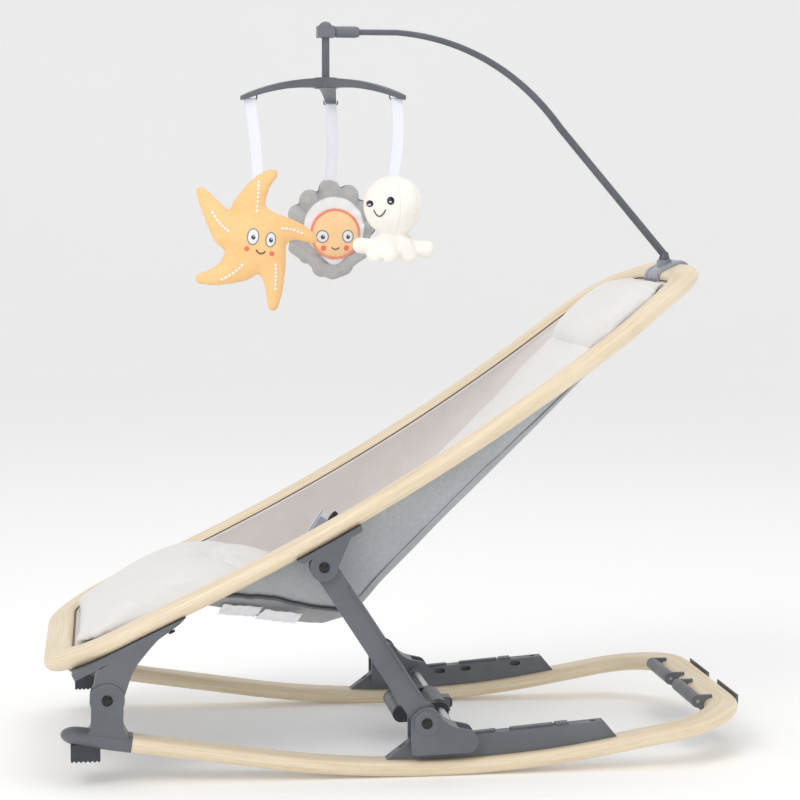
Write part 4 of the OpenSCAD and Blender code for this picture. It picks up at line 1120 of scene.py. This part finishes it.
def knots(name, target, spots, body, look, long, wide):
    """Small raised stitches along a line on a toy's front."""
    verts, faces, rings, seg = [], [], 6, 10
    for index, (x, z) in enumerate(spots):
        y = front_y(target, x, z)
        if y is None:
            continue
        a0, b0 = spots[max(0, index - 1)], spots[min(len(spots) - 1, index + 1)]
        a = atan2(b0[1] - a0[1], b0[0] - a0[0])
        base = len(verts)
        for i in range(rings + 1):
            lat = pi * i / rings
            u = long * cos(lat)
            for t in turns(seg):
                v, w = wide * sin(lat) * cos(t), wide * sin(lat) * sin(t)
                verts.append((x + u * cos(a) - v * sin(a), y - 0.3 + w * 0.8,
                              z + u * sin(a) + v * cos(a)))
        faces += [tuple(base + i for i in f) for f in grid_faces(rings + 1, seg, closed_m=True)]
    outward(piece(name, verts, faces, body, look, sharp=80), 1e-6)


SEAM_R, SEAM_STEP = 0.7, 2.2


def waist_seam(name, obj, y, body, look):
    """The sewn edge round a toy, where its front and back halves meet."""
    bm = bmesh.new()
    bm.from_mesh(obj.data)
    cut = bmesh.ops.bisect_plane(bm, geom=bm.verts[:] + bm.edges[:] + bm.faces[:], plane_co=(0, y / 1000, 0),
                                 plane_no=(0, 1, 0))["geom_cut"]
    near = {}
    for edge in (e for e in cut if isinstance(e, bmesh.types.BMEdge)):
        p, q = edge.verts
        near.setdefault(p, []).append(q)
        near.setdefault(q, []).append(p)
    loops, left = [], set(near)
    while left:
        start = min(left, key=lambda v: (v.co.x, v.co.z))
        line, at = [start], start
        left.discard(start)
        while True:
            ahead = [v for v in near[at] if v in left]
            if not ahead:
                break
            at = ahead[0]
            left.discard(at)
            line.append(at)
        loops.append([back_to_mm(v.co) for v in line])
    bm.free()
    line = max(loops, key=len)
    kept = [line[0]]
    for p in line[1:]:
        if dist(p, kept[-1]) > SEAM_STEP:
            kept.append(p)
    if dist(kept[0], kept[-1]) < SEAM_STEP / 2:
        kept.pop()
    tube(name, kept, SEAM_R, body, look, 6, True)


def add_eye(name, tree, x, z, rx, rz, body, turn):
    """An embroidered eye: a grey ring, the white, a dark pupil and its glint."""
    patch(f"{name}_ring", tree, ellipse(x, z, rx, rz, turn=turn), body, "eye_ring", 0.3)
    patch(f"{name}_white", tree, ellipse(x, z, rx - 1.3, rz - 1.3, turn=turn), body, "eye_white", 0.55)
    patch(f"{name}_pupil", tree, ellipse(x + 0.3, z - 0.6, 2.4, 2.6, 20), body, "eye_dark", 0.8, rings=4)
    patch(f"{name}_glint", tree, ellipse(x + 1.0, z + 0.5, 0.7, 0.7, 12), body, "eye_white", 1.0,
          rings=2, skirt=0.6)


def add_face(toy, tree, body, at, eyes, cheeks, smile, smile_r):
    """Eyes (x, z, rx, rz, turn), cheeks (x, z, rx, rz) and a smile through three points."""
    for (side, _), (x, z, rx, rz, turn) in zip(SIDES, eyes):
        add_eye(f"{toy}_eye_{side}", tree, *at((x, z))[0], rx, rz, body, turn)
    for (side, _), (x, z, rx, rz) in zip(SIDES, cheeks):
        patch(f"{toy}_cheek_{side}", tree, ellipse(*at((x, z))[0], rx, rz, 20), body, "coral", 0.3, rings=3)
    thread(f"{toy}_smile", tree, curve_through(at(*smile)), smile_r, body, "brown")


def about(x, z):
    """Moves points given about a toy's middle to the place where it hangs."""
    return lambda *spots: [(x + dx, z + dz) for dx, dz in spots]


def add_starfish():
    body, (cx, cz), y = "star_toy", (-131, 591), STAR_AT[1]
    at = about(cx, cz)
    arms = [
        [(0, 4, 30), (-11.6, 32, 19), (-4.6, 48.6, 14), (4.6, 64.8, 10.5), (17.5, 74, 6)],
        [(-6, 0, 30), (-33, 9.3, 20), (-45, 23, 14.5), (-55.5, 39.3, 10), (-64.5, 54, 5.8)],
        [(-4, -6, 30), (-19, -27, 21), (-33.6, -37.5, 14), (-48, -43, 10), (-66, -45.5, 6)],
        [(2, -6, 30), (15, -29, 17), (18.5, -47, 11.5), (18.5, -62.5, 9), (16.9, -77, 6)],
        [(4, 4, 30), (20, 9, 19), (36, 11, 12), (49.8, 7.4, 9), (63, 0, 5.8)],
    ]
    balls = []
    for points in arms:
        balls += chain([(cx + x, cz + z, y, r, 0.56 + 0.26 * max(0.0, 1 - r / 25)) for x, z, r in points])
    star = plush("starfish_body", balls, body, "star", ["starfish"])
    tree = tree_of(star)
    waist_seam("starfish_seam", star, y + 0.5, body, "star_seam")
    add_face("starfish", tree, body, at, ((-6.5, 2.8, 7, 9.7, -8), (13.7, -0.7, 6.2, 8.8, -8)),
             ((-13.7, -10.9, 3.0, 2.8), (15, -16.7, 3.0, 2.8)), ((-3, -12), (1.5, -16.5), (7.5, -14)), 0.75)
    stitches = {
        "up": (8, (1, 65), (0, 50), (-1.5, 32)),
        "left": (7, (-52, 30), (-44, 18), (-35, 9.5)),
        "right": (6, (28, 12), (39, 10.5), (50, 6.5)),
        "low_left": (7, (-19, -30), (-29, -39), (-42, -46)),
        "low": (7, (19.5, -30), (20, -43), (19.5, -57)),
    }
    for name, (count, *spots) in stitches.items():
        line = curve_through(at(*spots), count)
        knots(f"starfish_stitches_{name}", tree, line, body, "white_felt", 2.0, 1.5)


FLUTE_FROM, FLUTE_FADE, FLUTE_W, FLUTE_DEEP = 26, 16, 3.6, 0.004


def carve_flutes(obj, cx, cz, y, notches):
    """Presses a valley into the shell at each notch between two scallops."""
    for vertex in obj.data.vertices:
        x, z = vertex.co.x * 1000 + SHIFT - cx, vertex.co.z * 1000 - cz
        r, a = hypot(x, z), atan2(z, x)
        if r < FLUTE_FROM or vertex.co.y * 1000 > y + 2:
            continue
        deep = 0.0
        for notch in notches:
            off = atan2(sin(a - radians(notch)), cos(a - radians(notch))) * r
            deep += bell(off, FLUTE_W)
        vertex.co.y += FLUTE_DEEP * deep * min(1.0, (r - FLUTE_FROM) / FLUTE_FADE)
    obj.data.update()


def add_clam():
    body, (cx, cz), y = "clam_toy", (-33, 597), CLAM_AT[1]
    at = about(cx, cz)
    edge = [(-3, 51, 13), (20, 44, 13), (36, 27, 12), (43, 6, 11), (40, -14, 10), (-26, 38, 13),
            (-40, 21, 12.5), (-42, 2, 11), (-42, -14, 9.5), (-30, -28, 10), (-12, -42, 12), (2, -44, 12),
            (14, -40, 12), (30, -26, 10)]
    balls = [(cx + x, cz + z, y + 1, r, 0.62) for x, z, r in edge]
    balls += [(cx + x * 0.72, cz + z * 0.72, y + 1, 17, 0.62) for x, z, _ in edge]
    balls += [(cx, cz, y + 1, 40, 0.26), (cx - 2, cz + 4, y + 1, 30, 0.35), (cx, cz - 12, y + 1, 32, 0.32)]
    back = plush("clam_back", balls, body, "clam", ["clam_shell"], smooth=5)
    waist_seam("clam_seam", back, y + 2, body, "clam_seam")
    carve_flutes(back, cx, cz, y, (108, 76, 47, 20, 140, 168, -170, 0))
    tree = tree_of(back)
    # The lining is round on top and comes to a point below
    outline = []
    for a in turns(64):
        x, z = 37.5 * cos(a), 6 + 37.5 * sin(a)
        if z < 6:
            fall = (6 - z) / 37.5
            x, z = x * (1 - 0.35 * fall ** 3), 6 - 37.5 * fall - 9 * fall ** 6
        outline.append((cx + 2 + x, cz + z))
    white = patch("clam_lining", tree, outline, body, "white_felt", 1.0, 3.0, 10)
    tree = tree_of(back, white)
    thread("clam_lining_edge", tree, outline, 0.9, body, "clam", 0.2, True)
    px, pz = at((3.2, -1.9))[0]
    face = patch("clam_pearl_face", tree, ellipse(px, pz, 28.5, 28.5, 48), body, "pearl", 0.6, 9.5, 10)
    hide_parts("clam_pearl")
    thread("clam_pearl_ring", tree, ellipse(px, pz, 29.2, 29.2, 64), 1.35, body, "ring", 0.8, True, 10)
    # The lower half's lip, turned forward like an open mouth
    lip = [(-45, -17, -4, 8.5), (-35, -24, -7, 8.5), (-23, -32, -10, 8), (-14, -42, -12, 8.5),
           (0, -47, -13, 9), (13, -43, -12, 8.5), (23, -32, -10, 8), (35, -24, -7, 8.5), (44, -19, -4, 8)]
    rolled = chain([(cx + x, cz + z - 1.5, y + dy + 3, r, 0.6) for x, z, dy, r in lip], 0.25)
    plush("clam_lip", rolled, body, "clam", smooth=8)
    tree = tree_of(back, white, face)
    add_face("clam", tree, body, at, ((-13, -5, 7.3, 7.8, 0), (17.6, -4.8, 7.3, 7.8, 0)),
             ((-11.5, -19, 3.2, 3.3), (16, -19, 3.2, 3.3)), ((-2, -18), (2.4, -20.4), (7, -18.2)), 0.7)


def add_octopus():
    body, y = "octopus_toy", OCTOPUS_AT[1]
    cx, cz = OCTOPUS_AT[0] - 4, 629
    at = about(cx, cz)
    arms = [
        [(-5, -36, -4, 8), (-20, -43, -10, 7.6), (-30, -46, -12, 8.4), (-39, -45, -12, 9.4)],
        [(-4, -37, -6, 8), (-16, -47, -14, 8), (-23, -56, -16, 9.8)],
        [(-1, -38, -8, 7.5), (-6, -47, -18, 7.8), (-6, -57, -20, 8.6)],
        [(4, -37, -6, 8.5), (10, -46, -13, 11), (17, -58, -15, 8.6)],
        [(6, -36, 2, 8.5), (20, -44, -2, 8.2), (29, -49, -4, 9.4), (37, -50, -4, 10.2)],
        [(-4, -37, 8, 8), (-12, -47, 14, 8.4), (-14, -55, 15, 9)],
        [(4, -37, 8, 8), (12, -47, 15, 8.4), (14, -56, 16, 9)],
    ]
    balls = [(cx, cz, y, 34.6, 0.98), (cx, cz - 32, y, 12, 1.0)]
    for points in arms:
        balls += chain([(cx + x, cz + z, y + dy, r, 1.0) for x, z, dy, r in points], 0.3)
    octopus = plush("octopus_body", balls, body, "octopus", ["octopus"], 1.6, 5)
    tree = tree_of(octopus)
    for side, spot, r in (("left", (-29, 2.3), 3.4), ("right", (-7, 5.6), 4.1)):
        x, z = at(spot)[0]
        patch(f"octopus_eye_{side}", tree, ellipse(x, z, r, r * 1.12, 26), body, "black_bead",
              0.5, 1.2)
        patch(f"octopus_eye_{side}_glint", tree, ellipse(x - 0.6, z - 1.2, 1.7, 1.1, 16), body, "shine",
              1.75, rings=3, skirt=0.6)
    thread("octopus_smile", tree, curve_through(at((-25, -5), (-19, -12), (-12.6, -4.6))), 0.8, body, "brown")
    for k, (lean, curve) in enumerate(((4, 3.0), (24, 7.0))):
        line = at(*[(lean - curve * (2 * t - 1) ** 2, 31 - 60 * t) for t in np.linspace(0, 1, 40)])
        thread(f"octopus_seam_{k}", tree, line, 0.4, body, "octopus_seam", 0.0)


def add_ribbon(name, node, at, foot, body, bow):
    """A ribbon looped over the bar under an arm's tip, with both ends sewn into the toy."""
    top_z, (x0, y0), (x1, z1) = SWING_Z, at, foot
    n, path, leg = 26, [], RIBBON_LEG
    for k in range(n + 1):
        t = k / n
        path.append((x0 + (x1 - x0) * t + bow * sin(pi * t), y0 - leg - 0.9 * sin(pi * t),
                     top_z + (z1 - top_z) * t))
    over = [(x0, y0 + leg * cos(a), top_z + leg * sin(a)) for a in np.linspace(0.1, pi - 0.1, 9)]
    back = [(p[0], y0 + leg + 0.7 * sin(pi * k / n), p[2]) for k, p in enumerate(path)][::-1]
    front = strip(name, back + over + path, (1, 0, 0), RIBBON_T, RIBBON_W, body, "ribbon", [node])
    for side, sign in SIDES:
        for face_name, line, dy in (("front", path, -0.35), ("back", back[::-1], 0.35)):
            edge = [(p[0] + SELVEDGE * sign, p[1] + dy, p[2]) for p in line]
            tube(f"{name}_selvedge_{side}_{face_name}", edge, 0.35, body, "ribbon", 6)


def add_staple(name, at):
    """The bar and its two prongs under an arm's tip, through which the ribbon runs."""
    (x, y), z = at, SWING_Z
    path = [(x - 8.2, y, z + 5.0), (x - 8.2, y, z + 2.4), (x - 7.6, y, z + 0.7), (x - 6, y, z)]
    path += [(x + dx, y, z) for dx in (-3, 0, 3)] + [(2 * x - p[0], p[1], p[2]) for p in path[::-1]]
    tube(name, path, 0.85, "mobile", "grey", 10)


add_starfish()
add_clam()
add_octopus()
for kind, node, spot, foot, body, bow in (
    ("star", "starfish_ribbon", STAR_AT, (-131, 650), "star_toy", 2.0),
    ("clam", "clam_ribbon", CLAM_AT, (-35, 655), "clam_toy", 2.5),
    ("octopus", "octopus_ribbon", OCTOPUS_AT, (OCTOPUS_AT[0] - 4, 661), "octopus_toy", 3.0),
):
    add_ribbon(f"ribbon_{kind}", node, spot, foot, body, bow)
for kind, spot in (("star", STAR_AT), ("clam", CLAM_AT), ("octopus", OCTOPUS_AT)):
    add_staple(f"staple_{kind}", spot)


# ---- CAD nodes: materials and worn edges ----------------------------------------------------
HIDDEN = set((
    "base_frame seat_rim seat_shell seat_liner leg_pad back_pad head_pillow crotch_strap waist_strap_left "
    "waist_strap_right starfish starfish_ribbon clam_shell clam_pearl clam_ribbon octopus octopus_ribbon"
).split())
FINISH = {start: look for look, starts in {
    "rubber": "front_foot",
    "steel": "stop_hinge_pins rail_screws cross_tube_bar latch clamp_screw",
    "dark": "harness_buckle release_grip lock_button",
    "bolt": "front_pivot_bolts mid_pivot_bolts carriage_pivot_bolts bracket_screws",
    # The toy clamp takes the lighter plastic: painted highlight
    "saddle": "toy_clamp", "hub": "rod_hub", "rod": "toy_rod",
}.items() for start in starts.split()}


WORN_EDGE, WORN_ANGLE = 0.0006, radians(38)


def finish_cad():
    """Gives the CAD's own pieces their materials, and their plastic a worn edge."""
    for name in frame["nodes"]:
        if name in HIDDEN:
            continue
        obj = bpy.data.objects[name]
        look = next((v for k, v in FINISH.items() if name.startswith(k)), "grey")
        obj.data.materials.clear()
        obj.data.materials.append(MAT[look])
        smooth_mesh(obj.data, 32)
        if look in ("grey", "hub", "dark", "saddle"):
            modify(obj, "BEVEL", width=WORN_EDGE, segments=2, limit_method="ANGLE", angle_limit=WORN_ANGLE,
                   use_clamp_overlap=False, harden_normals=True)


finish_cad()


def add_clamp_saddle():
    """The toy clamp's wide wings, over the top and sides of the rim's head."""
    (x0, z0), a = rim_point(RIM_HEAD), rim_angle(RIM_HEAD)
    wing = [(31.6, 0.6), (31.0, 2.7), (29.6, 3.9), (27.0, 4.4), (14.2, 4.4), (13.5, 4.0), (13.3, 2.6)]
    stations = [(-y, e) for y, e in wing] + wing[::-1]
    verts = []
    for y, e in stations:
        outer = oval(RIM_W + 2 * e, RIM_H + 2 * e)[3:-3]
        inner = oval(RIM_W + 0.4, RIM_H + 0.4)[3:-3]
        verts += [(x0 + u * cos(a) - v * sin(a), y, z0 + u * sin(a) + v * cos(a))
                  for u, v in outer + inner[::-1]]
    n, m = len(stations), 2 * len(outer)
    faces = grid_faces(n, m, closed_m=True)
    for i in (0, (n - 1) * m):
        faces += [(i + k, i + k + 1, i + m - 2 - k, i + m - 1 - k) for k in range(m // 2 - 1)]
    # Lighter than the frame's grey plastic: painted highlight
    outward(piece("clamp_saddle", verts, faces, "seat", "saddle", sharp=40))


add_clamp_saddle()


# ---- Studio ---------------------------------------------------------------------------------
WORLD_LIGHT = 0.68
LIGHTS = [
    ("key", (-1.6, -2.2, 2.8), (0, 0, 0.35), (1.6, 1.6), 34, (1.0, 0.985, 0.965)),
    ("top", (0.4, 0.2, 3.2), (0.1, 0, 0.2), (2.4, 2.0), 17, (1, 1, 1)),
    ("fill", (2.6, -1.6, 1.2), (0.1, 0, 0.3), (1.8, 1.4), 6, (0.97, 0.985, 1.0)),
]


def add_stage():
    """A pale floor that curves up into a low wall all round, the lights and the view's colours."""
    curve = [(6 + 3 * sin(a), 3 - 3 * cos(a)) for a in np.linspace(0.08, pi / 2, 14)]
    profile = [(0, 0), (3, 0), (6, 0)] + curve + [(9, 4.5)]
    ring = 96
    verts = [(r * cos(a), r * sin(a), z) for r, z in profile for a in turns(ring)]
    mesh = bpy.data.meshes.new("studio_floor")
    mesh.from_pydata(verts, [], grid_faces(len(profile), ring, closed_m=True))
    mesh.validate()
    mesh.shade_smooth()
    floor = bpy.data.objects.new("studio_floor", mesh)
    bpy.context.scene.collection.objects.link(floor)
    m = Maker("studio_floor", rough=0.75, colour=(250, 250, 250))
    m.to("Base Color", m.ramp(m.noise(m.coords(), 0.6, 2), [(0.3, (249, 249, 249)), (0.7, (251, 251, 251))]))
    m.set("Emission Color", (1, 1, 1, 1))
    m.set("Emission Strength", 0.1)
    mesh.materials.append(m.mat)

    world = bpy.data.worlds.new("studio")
    bpy.context.scene.world = world
    world.use_nodes = True
    background = world.node_tree.nodes["Background"].inputs
    background["Color"].default_value = (1, 1, 1, 1)
    background["Strength"].default_value = WORLD_LIGHT
    for name, spot, aim, size, power, tint in LIGHTS:
        data = bpy.data.lights.new(name, "AREA")
        data.shape, data.size, data.size_y = "RECTANGLE", size[0], size[1]
        data.energy, data.color = power, tint
        placed(name, data, spot, Vector(aim) - Vector(spot))
    view = bpy.context.scene.view_settings
    view.view_transform, view.look, view.exposure, view.gamma = "Standard", "None", 0.0, 1.0


add_stage()
